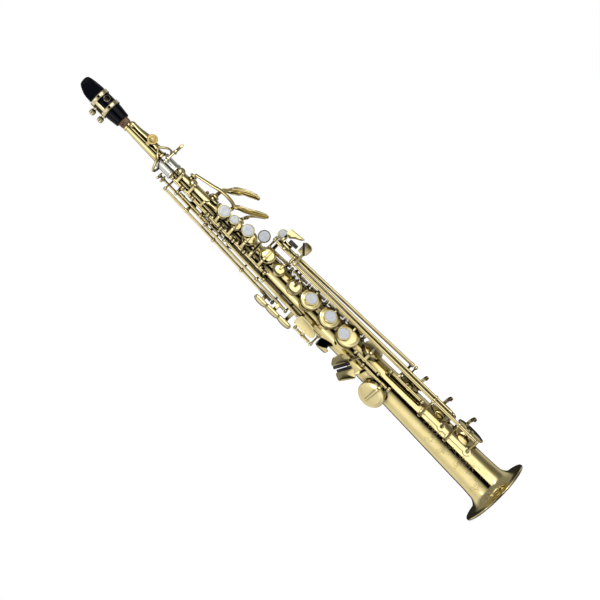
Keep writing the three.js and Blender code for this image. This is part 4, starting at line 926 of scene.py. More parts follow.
def stackFeet(key, side):
    low, high = key["low"], key["high"]
    direction = (high - low).normalized()
    radial = (vec(low.x, low.y, 0)).normalized()
    across = direction.cross(radial) * side
    for share, reach in ((0.16, 3.6), (0.80, 4.2)):
        root = low.lerp(high, share)
        strap(key["metal"], [root, root - across * reach * 0.6 + radial * 0.2,
                             root - across * reach - radial * 0.4], [3.6, 3.0, 2.6], [2.2, 1.7, 1.3],
              radial, 4)
        turned(key["felt"], [(0, -1.0), (1.0, -1.0), (1.0, -0.4), (0, -0.4)], root - across * (reach - 0.9),
               radial, 14)


def cupKey(name, node, hole, pins, lift, isOpen=False, pinHeight=None, reach=0.0, armLift=0.4, ownArm=False,
           more=None, pearl=None):
    low, high = pins
    z = toneHoles[hole][0] if pinHeight is None else pinHeight
    key = newKey(low, high, sideOf(hole, low) * lift if isOpen else 0)
    pin = low.lerp(high, (z - low.z) / (high.z - low.z))
    hingeTube(key, [(pin, 5)], pinRadius if hole not in ("lowB", "lowBFlat") else bellRodRadius)
    keyCup(key, hole)
    if not ownArm:
        keyArm(key, hole, pin, reach, armLift)
    if node in stackKeys:
        stackFeet(key, sideOf(hole, low))
    if more:
        more(key)
    if pearl:
        at, normal, radius, foot = pearl
        pearlSeat(key, at, normal, radius, foot)
        pearlDisc(name + "Pearl", key, at, normal, radius, node)
    finishKey(key, name, node, node)


def tipped(key, draw, centre, angle, axis="X"):
    counts = {part: len(key[part].verts) for part in ("metal", "roller")}
    draw()
    for part, count in counts.items():
        bmesh.ops.rotate(key[part], verts=list(key[part].verts)[count:], cent=centre,
                         matrix=Matrix.Rotation(radians(angle), 3, axis))


def touchArm(key, points, width, thickness, facing=front, steps=6):
    strap(key["metal"], points, width, thickness, facing, steps)


cupKey("octaveVentUpper", "octave_vent_upper_key", "octaveUpper", between("left", leftPosts["octaveTop"],
       leftPosts["octaveMiddle"]), 9, pinHeight=517)
cupKey("octaveVentLower", "octave_vent_lower_key", "octaveLower", between("left", leftPosts["octaveMiddle"],
       leftPosts["octaveLow"]), 9, pinHeight=498)

low, high = between("left", leftPosts["octaveLow"], leftPosts["front"])
key = newKey(low, high)
hingeTube(key, [(pinAt("left", 478), 5)])
frontPlate(key["metal"], [(7.4, 462.8), (9.3, 465.2), (9.2, 470), (6, 474.5), (3.4, 470), (4.4, 465)],
           -18.6, 1.8, curve=6, crown=0.25)
touchArm(key, [pinAt("left", 478), vec(0, -19.2, 477), vec(3.6, -19.7, 474.4), vec(6, -19.5, 471)],
         [3.6, 3, 2.6, 2], [2.4, 2, 1.8, 1.4])
finishKey(key, "frontFKey", "front_f_key", "front_f_key")


def pearlOn(hole, sideways, upwards, radius, footShift=(0, 0)):
    return (overCup(hole, sideways, upwards, 1), seatNormal(toneHoles[hole][1]), radius,
            overCup(hole, sideways + footShift[0], upwards + footShift[1], -0.9))


cupKey("bKey", "b_key", "b", between("left", leftPosts["front"], leftPosts["b"]), 10, True,
       pearl=pearlOn("b", 0.6, 0, 6.9))
cupKey("bisKey", "bis_key", "bis", between("left", leftPosts["b"], leftPosts["bis"]), 10, True,
       pearl=pearlOn("bis", 1.4, 6, 5, (0, -2)))
cupKey("aKey", "a_key", "a", between("left", leftPosts["bis"], leftPosts["a"]), 10, True,
       pearl=pearlOn("a", 4, 7.2, 6.9, (-1, -1.7)))


def gStem(key):
    touchArm(key, [pinAt("left", 396.5), vec(-2, -21.6, 396.8), vec(8, -20.9, 397.1), vec(14, -20.2, 397.5),
                   vec(22.5, -20.6, 399)], [4, 3.4, 3.2, 3.2, 4.4], [2.4, 2, 1.9, 1.9, 1.4])


tilt = (outwards(14) + vec(0, 0, 0.1)).normalized()
cupKey("gKey", "g_key", "g", between("left", leftPosts["a"], leftPosts["g"]), 10, True, reach=6, more=gStem,
       pearl=(vec(22.5, -21.5, 399.4), tilt, 6.4, None))


def gSharpStem(key):
    touchArm(key, [pinAt("gSharp", 383), vec(26, -5, 383.4), vec(32, -6.2, 384.6), vec(37.4, -7.4, 386)],
             [4.4, 3.6, 3.4, 4.4], [2.6, 2.1, 2, 1.4])


cupKey("gSharpKey", "g_sharp_key", "gSharp", segment("gSharp", rightPosts["top"] + playOff, 385.2), 12,
       more=gSharpStem, pearl=(vec(38, -8.4, 386.4), outwards(20), 5.4, None))


def fSharpScrews(key):
    for z in (345.5, 339.6):
        at = pinAt("right", z)
        over = vec(10.4, -24.4 + (345.5 - z) * 0.05, z)
        touchArm(key, [at, vec(20, -14.5, z), vec(14.5, -21.2, z), over], [3, 2.6, 2.6, 3.2],
                 [2, 1.8, 1.6, 1.6], outwards(30))
        slottedHead(key["screw"], over + vec(0, -0.6, 0), outwards(20), 2.2, 1.4)


cupKey("fSharpKey", "f_sharp_key", "fSharp", between("right", rightPosts["top"], rightPosts["f"]), 8, True,
       more=fSharpScrews)
for name, lower, sideways, upwards in (("f", "e", -1, 0), ("e", "d", -0.5, 0), ("d", "low", -4.2, 5)):
    cupKey(f"{name}Key", f"{name}_key", name, between("right", rightPosts[name], rightPosts[lower]), 11, True,
           reach=-toneHoles[name][2] * 0.5, armLift=-0.1, pearl=pearlOn(name, sideways, upwards, 6.9))


def rollerAlong(key, a, b, radius):
    length = (b - a).length
    turned(key["roller"], [(0, 0), (radius * 0.8, 0.2), (radius, 0.9), (radius * 1.04, length / 2),
                           (radius, length - 0.9), (radius * 0.8, length - 0.2), (0, length)], a, b - a, 24)


# Little-finger touches lean towards the bell, and the low C one is turned a little as well
touches = {"depth": -24.6, "rollerDepth": -26, "thickness": 1.8, "lean": -21, "lowCTurn": -10}


def eFlatTouch(key):
    def draw():
        frontPlate(key["metal"], [(-10, 241.5), (-10, 231), (-13.4, 228.5), (-29.4, 238), (-29, 241.6),
                                  (-22.4, 246.4)], touches["depth"], touches["thickness"], corner=2.2,
                   crown=0.7)
        rollerAlong(key, vec(-12.4, touches["rollerDepth"], 226.6),
                    vec(-30.0, touches["rollerDepth"], 236.8), 1.9)

    tipped(key, draw, vec(-20, touches["depth"], 237), touches["lean"])
    touchArm(key, [pinAt("eFlat", 224.5), vec(-6, -21.2, 227.5), vec(-12, -20.6, 231.4),
                   vec(-20, -23.2, 237)], [4.6, 4, 3.6, 3], [2.6, 2, 1.9, 1.4])


def lowCTouch(key):
    def draw():
        frontPlate(key["metal"], [(-14.2, 221), (-21.4, 209.8), (-38, 221.8), (-34, 231.4), (-28, 229.4)],
                   touches["depth"], touches["thickness"], corner=2.6, crown=0.7)
        rollerAlong(key, vec(-15.0, touches["rollerDepth"], 223.0),
                    vec(-31.0, touches["rollerDepth"], 232.0), 1.7)

    centre = vec(-26, touches["depth"], 221)
    tipped(key, lambda: tipped(key, draw, centre, touches["lean"]), centre, touches["lowCTurn"], "Z")
    touchArm(key, [pinAt("lowC", 209), vec(-12, -20.2, 212), vec(-18, -20.6, 215.4), vec(-26, -23, 221)],
             [4.6, 4, 3.6, 3], [2.6, 2, 1.9, 1.4])


cupKey("eFlatKey", "e_flat_key", "eFlat", between("eFlat", *eFlatPosts), 11, pinHeight=218.4, more=eFlatTouch)
cupKey("lowCKey", "low_c_key", "lowC", between("lowC", *lowCPosts), 15, True, reach=10, armLift=0.8,
       more=lowCTouch)

tablePlates = {"depth": -23.2, "thickness": 1.7}


def tablePlate(key, outline, **more):
    frontPlate(key["metal"], outline, tablePlates["depth"], tablePlates["thickness"], crown=0.5, **more)


low, high = bellRods["cSharp"]
key = newKey(low, high)
hingeTube(key, [(onRod("cSharp", 382.4), 6), (onRod("cSharp", 175.6), 5)], bellRodRadius)
tipped(key, lambda: tablePlate(key, [(48.5, 384.5), (51, 363.4), (47, 366.4), (43.6, 373), (38.6, 378.4),
                                     (41, 384.5)], corner=1.4), vec(46, tablePlates["depth"], 375), 12, "Z")
touchArm(key, [onRod("cSharp", 382.4), vec(32, -20, 382.4), vec(36, -23.9, 382.4), vec(44, -24, 382)],
         [4, 3.4, 3.2, 2.6], [2.4, 2, 1.8, 1.2])
touchArm(key, [onRod("cSharp", 175.6), vec(32, -14.6, 175.6), vec(26, -14.4, 175.6)], [4, 3.2, 2.6],
         [2.4, 2, 1.8])
finishKey(key, "lowCSharpLever", "low_c_sharp_lever", "low_c_sharp_lever")


def cSharpTail(key):
    touchArm(key, [pinAt("cSharp", 177), vec(20, -17.6, 176.6), vec(23.8, -17.4, 176)], [4, 3.2, 2.6],
             [2.4, 1.9, 1.5])


cupKey("lowCSharpKey", "low_c_sharp_key", "lowCSharp", between("cSharp", *cSharpPosts), 10, more=cSharpTail)


def lowBTouch(key):
    tipped(key, lambda: tablePlate(key, [(31.2, 379.4), (36.6, 379.4), (37, 368.6), (31.2, 368.4)],
                                   corner=1.6), vec(34, tablePlates["depth"], 374), 12, "Z")
    touchArm(key, [onRod("b", 374), vec(28, -23.8, 374), vec(34, -23.9, 374)], [4.4, 3.6, 3], [2.6, 2, 1.4])
    rollerAlong(key, vec(39.4, -24.4, 363.6), vec(39.4, -24.4, 375.6), 2.3)
    touchArm(key, [vec(33.6, -23.4, 370), vec(37, -23.2, 369.4), vec(38.7, -23.4, 369.3)], 2.2, 1.2)


def lowBFlatTouch(key):
    def draw():
        tablePlate(key, [(37, 361), (51, 361.4), (52, 357), (52, 351), (48, 348.6), (40, 349.6), (37, 353)],
                   corner=2)
        rollerAlong(key, vec(49.2, -24.9, 362), vec(38, -24.9, 351.4), 1.5)

    tipped(key, draw, vec(44.5, tablePlates["depth"], 355), -14)
    touchArm(key, [onRod("bFlat", 353), vec(24, -23.8, 353), vec(34, -23.9, 353.4), vec(42, -23.8, 354)],
             [4.4, 3.6, 3.4, 3], [2.6, 2, 1.9, 1.4])


cupKey("lowBKey", "low_b_key", "lowB", bellRods["b"], 12, True, pinHeight=107, more=lowBTouch)
cupKey("lowBFlatKey", "low_b_flat_key", "lowBFlat", bellRods["bFlat"], 12, True, pinHeight=71,
       more=lowBFlatTouch)

sideKeys = {
    "sideE": {"node": "side_e_key", "low": 343, "high": 519, "touchZ": 350.6, "touchX": -34.4, "length": 15,
              "lift": 7, "armLift": 0.4},
    "sideC": {"node": "side_c_key", "low": 325, "high": 456, "touchZ": 332.6, "touchX": -33.6, "length": 17,
              "lift": 8, "armLift": 0.4},
    "sideBFlat": {"node": "side_b_flat_key", "low": 307.5, "high": 427, "touchZ": 314.6, "touchX": -33,
                  "length": 16, "lift": 8, "armLift": -0.6},
}


def sideTouch(line):
    z, x, length = (sideKeys[line][word] for word in ("touchZ", "touchX", "length"))

    def draw(key):
        turnOut = Matrix.Rotation(radians(20), 3, "Z")
        middle = vec(x, -9, z)
        upright = [middle + up * (length * t / 2) + turnOut @ vec(-0.5 * (1 - t * t), 0, 0)
                   for t in (-1, -0.5, 0, 0.5, 1)]
        strap(key["metal"], upright, [8.6, 10, 10, 10, 8.6], [4.6, 5.6, 5.8, 5.6, 4.6],
              turnOut @ vec(-1, 0, 0), 4, 20, 0.5)
        touchArm(key, [pinAt(line, z), vec((pinAt(line, z).x + x) / 2, -8.4, z), vec(x + 1, -8, z)],
                 [5.4, 4.6, 5], [2.4, 1.9, 1.8])

    return draw


for line, row in sideKeys.items():
    cupKey(line + "Key", row["node"], line, segment(line, row["low"], row["high"]), row["lift"],
           armLift=row["armLift"], more=sideTouch(line))

low, high = segment("octave", *octavePins)
key = newKey(low, high)
hingeTube(key, [(pinAt("octave", 467), 5), (pinAt("octave", 537.4), 3.4), (pinAt("octave", 532), 3.4)],
          pinRadius - 0.2)
for z in (537.4, 532):
    touchArm(key, [pinAt("octave", z), vec(-18.6, 4, z), vec(-15, 2.6, z), vec(-11.4, 2, z)],
             [2.8, 2.4, 2.4, 2.2], [2.8, 2.4, 2.4, 2.2], up)
touchArm(key, [pinAt("octave", 467), vec(-12.5, 18.6, 467.4), vec(-6, 18.9, 467.8), vec(0, 18.6, 468)],
         [4, 3.4, 3.2, 3], [2.2, 1.7, 1.6, 1.2], vec(0, 1, 0))
turned(key["metal"], [(0, -0.2), (5.6, -0.2), (6, 0.3), (6, 1.0), (5.4, 1.5), (3.5, 1.85), (0, 2)],
       vec(0, 17.8, 468), vec(0, 1, 0), 40)
finishKey(key, "thumbOctaveKey", "thumb_octave_key", "thumb_octave_key")


def ventToe(key):
    touchArm(key, [pinAt("vent", 305), above(305, -128, 7.5), above(305, -108, 11)], [3.6, 3, 2.6],
             [2.4, 2, 1.8], up)


cupKey("highFSharpVent", "high_f_sharp_vent_key", "highFSharp", segment("vent", *ventPins), 9, more=ventToe)
low, high = segment("lever", *leverPins)
key = newKey(low, high)
hingeTube(key, [(pinAt("lever", 288), 5)])
tipped(key, lambda: frontPlate(key["metal"], [(-12.4, 303), (-12.8, 290), (-15.5, 281), (-20, 277.6),
                                              (-24.6, 282), (-24.8, 302), (-22, 306.6), (-15, 306.6)], -17,
                               1.8, curve=2, crown=0.4), vec(-19, -17, 292), -18, "Z")
touchArm(key, [pinAt("lever", 288), vec(-27.5, -12, 289), vec(-25.4, -15.6, 289.6), vec(-22, -17.6, 290)],
         [5, 4.2, 4, 3.4], [2.6, 2, 1.9, 1.4])
finishKey(key, "highFSharpLever", "high_f_sharp_lever", "high_f_sharp_lever")


# Palm keys: long curved spoons that stand out from the tube on the left-hand side
def spoon(key, points, widths, thickness, facing):
    strap(key["metal"], points, widths, thickness, facing, 8, 22, 0.75)


def palmFMore(key):
    spoon(key, [vec(21.6, 1.4, 449), vec(24, 1, 445), vec(27, 0.8, 438), vec(31, 0.6, 430.6),
                vec(35, 0.6, 423.4), vec(38.2, 0.6, 417.4), vec(40, 0.6, 413.4)],
          [5.6, 7, 8.4, 9.4, 9.4, 8, 4.6], [3.8, 3.6, 3.4, 3.2, 2.8, 2.2, 1.6], vec(-0.64, -0.68, -0.36))
    touchArm(key, [pinAt("palm", 452), vec(21.5, 6, 452), vec(23.5, 0, 470), vec(20, -1, 486),
                   vec(15.4, -1, 508)], [4.6, 4.6, 4.4, 4.2, 3.6], [2.6, 2.6, 2.6, 2.4, 1.8], outwards(40),
             8)
    touchArm(key, [vec(21.6, 5, 452), vec(21.6, 3, 450.6), vec(21.8, 1.5, 446.6)], [5.4, 6, 6],
             [3, 3.4, 3.4], outwards(50))


def palmEMore(key):
    spoon(key, [vec(34.4, 1.6, 464.6), vec(37.2, 1, 461), vec(41, 0.6, 453.6), vec(44.6, 0.6, 446),
                vec(46.8, 0.6, 440), vec(47.6, 0.6, 435.6)], [6.4, 7.8, 9.4, 9.6, 8.4, 5],
          [4.4, 4.2, 3.8, 3.4, 2.6, 1.8], vec(-0.66, -0.68, -0.34))
    touchArm(key, [pinAt("palm", 475), vec(24, 9, 474), vec(29.4, 5, 469), vec(35, 2, 464)], [5, 5, 4.8, 5],
             [3, 2.8, 2.6, 2.4], vec(0, -1, 0.4))
    touchArm(key, [vec(26, 8.2, 472), vec(30.4, 6.4, 463.6), vec(35, 3.8, 456.6), vec(40.4, 2, 453)],
             [3.6, 3.4, 3.4, 3.6], [2.6, 2.4, 2.2, 2], vec(0, -1, 0.4))


def palmDMore(key):
    spoon(key, [vec(22, 15.6, 433.4), vec(26, 16, 430), vec(30.6, 16, 425), vec(34.4, 16, 419.4),
                vec(36.8, 16, 415.8)], [5, 7, 8.2, 7.6, 4.4], [2.8, 2.6, 2.3, 2, 1.5], vec(-0.75, 0, -0.66))
    touchArm(key, [pinAt("palm", 434), vec(18, 16, 434), vec(24, 16, 430.6)], [4.6, 4, 4], [2.6, 2.2, 2.2])


cupKey("palmFKey", "palm_f_key", "palmF", between("palm", palmPosts[1], palmPosts[2]), 8, ownArm=True,
       more=palmFMore)
cupKey("palmEFlatKey", "palm_e_flat_key", "palmEFlat", between("palm", palmPosts[0], palmPosts[1]), 9,
       more=palmEMore)
cupKey("palmDKey", "palm_d_key", "palmD", between("palm", palmPosts[2], palmPosts[3]), 9, more=palmDMore)
print("keys made")

# Posts stand on ribs soldered to the tube and hold the hinge rods
postShape = {"stem": 1.15, "foot": 2.3, "ball": 2.5, "flat": 1.75}


def ribStrip(bm, phi, lowZ, highZ, width, height=1.2):
    rings = []
    steps = [(0, 0.35), (0.6, 0.7), (1.5, 0.92), (3, 1)]
    places = [(lowZ + d, s) for d, s in steps] + [(highZ - d, s) for d, s in steps[::-1]]
    for z, scale in places:
        half = width * scale / 2
        loop = []
        for across, rise in ((-1, -0.4), (-1, height * 0.55), (-0.8, height), (-0.3, height), (0.3, height),
                             (0.8, height), (1, height * 0.55), (1, -0.4)):
            turn = phi + math.degrees(across * half / radiusAt(z))
            loop.append(bm.verts.new(above(z, turn, rise + (0.3 if rise < 0 else 0))))
        rings.append(loop)
    joinRings(bm, rings)
    bm.faces.new(rings[0][::-1])
    bm.faces.new(rings[-1])


def ballPost(bm, foot, head, direction, through=False, screws=None):
    stem = head - foot
    length = stem.length
    p = postShape
    if length > 4.5:
        outline = [(0, -0.4), (p["foot"], -0.4), (p["foot"], 1.5), (p["stem"] + 0.5, 2.0), (p["stem"], 2.6),
                   (p["stem"], max(length - 2.6, 2.7)), (p["stem"] + 0.5, max(length - 2.0, 2.9)),
                   (0, length - 0.2)]
    else:
        outline = [(0, -0.4), (p["foot"], -0.4), (p["foot"], 1.4), (p["stem"] + 0.2, 1.9),
                   (p["stem"] + 0.3, length - 1.6), (0, length - 0.2)]
    turned(bm, outline, foot, stem, 20)
    ball = p["ball"] + (0.7 if through else 0)
    flat = p["flat"] if not through else 1.5
    cut = math.degrees(math.acos(flat / ball))
    profile = [(ball * math.cos(radians(a)), ball * math.sin(radians(a)))
               for a in [-90 + cut + (180 - 2 * cut) * k / 10 for k in range(11)]]
    turned(bm, [(0, profile[0][1])] + profile + [(0, profile[-1][1])], head, direction, 24)
    if screws is not None and not through:
        for way in (1, -1):
            slottedHead(screws, head + direction * (way * (profile[-1][1] - 0.35)), direction * way, 1.2, 0.7)


def postSet(name, node, ribs, posts, extra=None, springs=()):
    bm, screws = bmesh.new(), bmesh.new()
    for item in ribs:
        ribStrip(bm, *item)
    for foot, head, direction, through in posts:
        ballPost(bm, foot, head, direction, through, screws)
    if extra:
        extra(bm)
    makePiece(name, bm, keyBrass, "body", [node])
    if len(screws.verts):
        makePiece(name + "PivotScrews", screws, steel, "body")
    else:
        screws.free()
    if springs:
        wires = bmesh.new()
        for a, b in springs:
            turned(wires, [(0, 0), (0.36, 0), (0.33, (b - a).length * 0.6), (0.2, (b - a).length),
                           (0, (b - a).length)], a, b - a, 8)
        makePiece(name + "NeedleSprings", wires, bluedSteel, "body")


def postAt(line, z, footPhi=None, through=False):
    phi = lines[line][0] if footPhi is None else footPhi
    return above(z, phi, 0.6), pinAt(line, z), lineAlong(line), through


def springAt(line, z, reach, way=-1, drop=2.4):
    phi, height = lines[line]
    return above(z, phi, height - 1.2), above(z + way * reach, phi + 3, height - drop)


stackHeights = list(leftPosts.values())
leftSprings = [springAt("left", z, 13) for z in stackHeights[3:7]] + [springAt("left", 404.5, 26)]
postSet("leftStackPosts", "left_stack_posts", [(-30, 366.5, 526.5, 5)],
        [postAt("left", z) for z in stackHeights], springs=leftSprings)
rightHeights = list(rightPosts.values())
rightSprings = [springAt("right", z, 20) for z in rightHeights[:4]] + [springAt("gSharp", 387.9, 20)]
postSet("rightStackPosts", "right_stack_posts", [(75, 233.2, 391, 5)],
        [postAt("right", z) for z in rightHeights] + [postAt("gSharp", 387.9)], springs=rightSprings)
postSet("palmPosts", "palm_posts", [(135, 421, 487, 5)], [postAt("palm", z) for z in palmPosts],
        springs=[springAt("palm", z, 13) for z in palmPosts[:3]])
postSet("lowCEFlatPosts", "low_c_e_flat_posts", [(-2, 172, 234, 6)],
        [postAt("eFlat", z, 3) for z in eFlatPosts] + [postAt("lowC", z, -6) for z in lowCPosts],
        springs=[springAt("eFlat", eFlatPosts[1], 22, 1), springAt("lowC", lowCPosts[0], 26)])

sideLow = {line: row["low"] - playOff for line, row in sideKeys.items()}
sideHigh = {line: row["high"] + playOff for line, row in sideKeys.items()}
sideEnds = [postAt("sideE", sideLow["sideE"]), postAt("sideC", sideLow["sideC"], -80),
            postAt("sideBFlat", sideLow["sideBFlat"], -76), postAt("sideC", sideHigh["sideC"], -80),
            postAt("sideBFlat", sideHigh["sideBFlat"], -76), postAt("sideE", 440, -90, True),
            postAt("sideE", 392, -90, True), postAt("sideC", 372, -80, True),
            postAt("sideBFlat", 366, -76, True), postAt("lever", leverPins[0] - playOff),
            postAt("lever", leverPins[1] + playOff)]
postSet("sideKeyPosts", "side_key_posts", [(-84, 272, 470, 6)], sideEnds,
        springs=[springAt(line, z, 22, 1) for line, z in sideLow.items()])
octaveEnds = [postAt("octave", octavePins[0] - playOff, -148), postAt("octave", 510, -148, True),
              (above(sideHigh["sideE"], -150, 0.6), pinAt("sideE", sideHigh["sideE"]), lineAlong("sideE"),
               False),
              postAt("vent", ventPins[0] - playOff, -152), postAt("vent", ventPins[1] + playOff, -152),
              postAt("vent", 396, -152, True)]
postSet("octavePosts", "octave_posts", [(-148, 298, 526, 5)], octaveEnds)

linkRod = {"phi": -75, "height": 4.1, "radius": 1.5, "low": 433.6, "high": 505.8, "middlePost": 470,
           "endPosts": (508.4, 431), "collars": (500, 484, 463, 446)}


def onLink(z):
    return above(z, linkRod["phi"], linkRod["height"])


link = bmesh.new()
for z in (linkRod["endPosts"][0], linkRod["middlePost"], linkRod["endPosts"][1]):
    ballPost(link, above(z, linkRod["phi"], 0.6), onLink(z), lineAlong("left"), z == linkRod["middlePost"])
rod(link, onLink(linkRod["low"]), onLink(linkRod["high"]), linkRod["radius"], 18)
for z in linkRod["collars"]:
    turned(link, [(1.4, -1.7), (1.95, -1.4), (1.95, 1.4), (1.4, 1.7)], onLink(z), up, 20)
makePiece("octaveLinkRod", link, keyBrass, "body")

carrierTops = [bellRods["bFlat"][1].z + playOff, bellRods["b"][1].z + playOff]


def tableCarriers(bm):
    first, second = carrierTops
    strap(bm, [above(first, 98, 0.5), vec(25, 1.8, first), vec(32, -7, first), onRod("cSharp", first),
               onRod("b", first), onRod("bFlat", first)], 3.2, 2.6, up, 6)
    strap(bm, [above(second, 98, 0.5), vec(24, 1.8, second), vec(27, -8, second), onRod("cSharp", second),
               onRod("b", second)], 3.2, 2.6, up, 6)
    for rodName, z, through in (("cSharp", first, True), ("b", first, True), ("bFlat", first, False),
                                ("cSharp", second, False), ("b", second, False)):
        head = onRod(rodName, z)
        ballPost(bm, head + vec(0, 2.2, 0), head, up, through)


postSet("tablePosts", "table_posts", [(98, 353, 393, 4.5)], [], tableCarriers)
leverEnd = bellRods["cSharp"][0].z - playOff
postSet("lowCSharpPosts", "low_c_sharp_posts", [(38, 135, 191, 10)],
        [postAt("cSharp", z) for z in cSharpPosts] + [(above(leverEnd, 40, 0.6), onRod("cSharp", leverEnd),
                                                       up, False)],
        springs=[springAt("cSharp", cSharpPosts[1], 24, 1)])
bEnd = bellRods["b"][0].z - playOff
bFlatEnd = bellRods["bFlat"][0].z - playOff
guides = (129, 88.6)


def bellGuides(bm):
    for z in guides:
        strap(bm, [above(z, phi, 0.8) for phi in (2, 10, 18, 28)], 4.6, 1.4, lambda t: outwards(2 + 26 * t),
              4)
    strap(bm, [onRod("bFlat", guides[0]), onRod("b", guides[0])], 3, 2.6, up, 4)
    head = onRod("b", guides[0])
    ballPost(bm, head + vec(0, 2.2, 0), head, up, True)
    for z in (bEnd, bFlatEnd):
        turned(bm, [(0, -0.5), (5.2, -0.5), (5.2, 0.4), (4.8, 0.8), (0, 0.8)], above(z, 27, 0),
               outwards(27), 32)


postSet("bellKeyPosts", "bell_key_posts", [(27, 55, 132, 6)],
        [(above(guides[0], 7, 0.6), onRod("bFlat", guides[0]), up, True),
         (above(guides[1], 5, 0.6), onRod("bFlat", guides[1]), up, True),
         (above(bEnd, 27, 0.6), onRod("b", bEnd), up, False),
         (above(bFlatEnd, 27, 0.6), onRod("bFlat", bFlatEnd), up, False)], bellGuides)

guardRows = ((150.4, "lowCSharp", 38), (113.4, "lowB", 41), (76.6, "lowBFlat", 43.5))


def guardArches(bm):
    for z, hole, reach in guardRows:
        cup = toneHoles[hole][2]
        strap(bm, [above(z, 140, 0.2), vec(24, cup + 7, z), vec(reach - 6, cup + 5, z),
                   vec(reach, cup * 0.6, z), vec(reach + 0.2, 1, z), vec(reach, -4, z)],
              [3.8, 3.2, 3.2, 3.8, 4.6, 3.8], [2.2, 3.0, 4.2, 4.6, 4.4, 2.8], up, 7)


postSet("keyGuards", "key_guards", [(140, 72, 155, 6)], [], guardArches)
bumpers = bmesh.new()
for z, hole, reach in guardRows:
    turned(bumpers, [(0, 0), (1.9, 0), (1.9, 0.9), (1.5, 1.3), (0, 1.4)], vec(reach - 1.0, -2.4, z),
           vec(-1, 0, 0), 20)
makePiece("guardFelts", bumpers, redFelt, "body")

hookBase = {"phi": -160, "low": 252, "high": 278, "width": 9, "screws": (256, 274)}
hook = bmesh.new()
ribStrip(hook, hookBase["phi"], hookBase["low"], hookBase["high"], hookBase["width"])
strap(hook, [above(264, -158, 0.9), above(264, -140, 5), above(264, -120, 8), above(264, -104, 8.5),
             above(262, -88, 8.6), above(259.4, -74, 8), above(256.6, -62, 7)],
      [14, 14, 14, 14, 12.6, 9.6, 5.6], [2.4, 2.2, 2.2, 2.2, 2.2, 2, 1.6],
      lambda t: outwards(-158 + 96 * t), 6, 20, 0.6)
for z in hookBase["screws"]:
    slottedHead(hook, above(z, hookBase["phi"], 1.1), outwards(hookBase["phi"]), 2, 0.7)
makePiece("thumbHook", hook, keyBrass, "body", ["thumb_hook"])
strapEye = {"z": 330, "rise": 6.4, "loop": 5, "wire": 1.3}
eye = bmesh.new()
ribStrip(eye, 180, strapEye["z"] - 8, strapEye["z"] + 8, 8)
centre = vec(0, radiusAt(strapEye["z"]) + strapEye["rise"], strapEye["z"])
turns = [radians(15 * k) for k in range(24)]
loopRod(eye, [centre + vec(0, strapEye["loop"] * math.cos(a), strapEye["loop"] * math.sin(a)) for a in turns],
        strapEye["wire"], 12)
turned(eye, [(0, 0), (3, 0), (2.4, 1), (2.2, 1.8), (0, 2)], above(strapEye["z"], 180, 0.8), outwards(180), 24)
makePiece("strapRing", eye, keyBrass, "body", ["strap_ring"])
thumbPlace = {"z": 446, "phi": 170}
rest = bmesh.new()
turned(rest, [(0, -0.6), (3.4, -0.6), (3.4, 2.0), (4.2, 3.0), (5, 3.6), (5, 4.6), (4.4, 5.2), (2.5, 5.6),
              (0, 5.75)], above(thumbPlace["z"], thumbPlace["phi"], 0), outwards(thumbPlace["phi"]), 36)
makePiece("thumbRest", rest, blackRoller, "body", ["thumb_rest"])
print("posts and fittings made")

floorMesh = bpy.data.meshes.new("floor")
bm = bmesh.new()
bmesh.ops.create_circle(bm, cap_ends=True, segments=64, radius=7)
bm.to_mesh(floorMesh)
bm.free()
floor = bpy.data.objects.new("floor", floorMesh)
floor.location = (0, 0, -0.0006)
scene.collection.objects.link(floor)
floorFinish, floorTree, floorShader, floorWhere = newFinish("paleFloor")
floorTree.links.new(ramp(floorTree, grain(floorTree, floorWhere, 3),
                         [(0.3, (0.93, 0.93, 0.93)), (0.7, (0.96, 0.96, 0.96))]),
                    floorShader.inputs["Base Color"])
floorShader.inputs["Roughness"].default_value = 0.9
floorShader.inputs["Emission Color"].default_value = (1, 1, 1, 1)
floorShader.inputs["Emission Strength"].default_value = 0.75
floorMesh.materials.append(floorFinish)
floor.visible_glossy = False      # the metal mirrors the studio, not the floor
floor.visible_diffuse = False

# Studio: bright walls at both sides and a dark gap in front, as (place round the horizon, level)
studio = {
    "background": 1.0, "strength": 2.0, "below": 0.17, "belowRange": (-0.3, -0.55), "ceiling": 0.12,
    "ceilingRange": (0.42, 0.7),
    "bands": [(0.0, 0.02), (0.085, 0.03), (0.13, 0.74), (0.17, 0.80), (0.23, 0.70), (0.28, 0.84),
              (0.33, 1.08), (0.385, 1.02), (0.415, 0.74), (0.445, 0.40), (0.468, 0.10), (0.478, 0.0),
              (0.536, 0.0), (0.546, 1.5), (0.59, 1.35), (0.652, 1.5), (0.672, 1.1), (0.70, 0.30),
              (0.74, 0.14), (0.80, 0.16), (0.85, 0.50), (0.90, 0.46), (0.93, 0.03), (1.0, 0.02)],
}
world = bpy.data.worlds.new("studio")
scene.world = world
world.use_nodes = True
tree = world.node_tree
tree.nodes.clear()
output = tree.nodes.new("ShaderNodeOutputWorld")
direction = tree.nodes.new("ShaderNodeTexCoord").outputs["Generated"]
parts = tree.nodes.new("ShaderNodeSeparateXYZ")
tree.links.new(direction, parts.inputs[0])
azimuth = tree.nodes.new("ShaderNodeMath")
azimuth.operation = "ARCTAN2"
flip = tree.nodes.new("ShaderNodeMath")
flip.operation = "MULTIPLY"
flip.inputs[1].default_value = -1
tree.links.new(parts.outputs["Y"], flip.inputs[0])
tree.links.new(parts.outputs["X"], azimuth.inputs[0])
tree.links.new(flip.outputs[0], azimuth.inputs[1])
turnPlace = tree.nodes.new("ShaderNodeMapRange")
turnPlace.inputs["From Min"].default_value = -math.pi
turnPlace.inputs["From Max"].default_value = math.pi
tree.links.new(azimuth.outputs[0], turnPlace.inputs["Value"])
bands = tree.nodes.new("ShaderNodeValToRGB")
while len(bands.color_ramp.elements) < len(studio["bands"]):
    bands.color_ramp.elements.new(0.5)
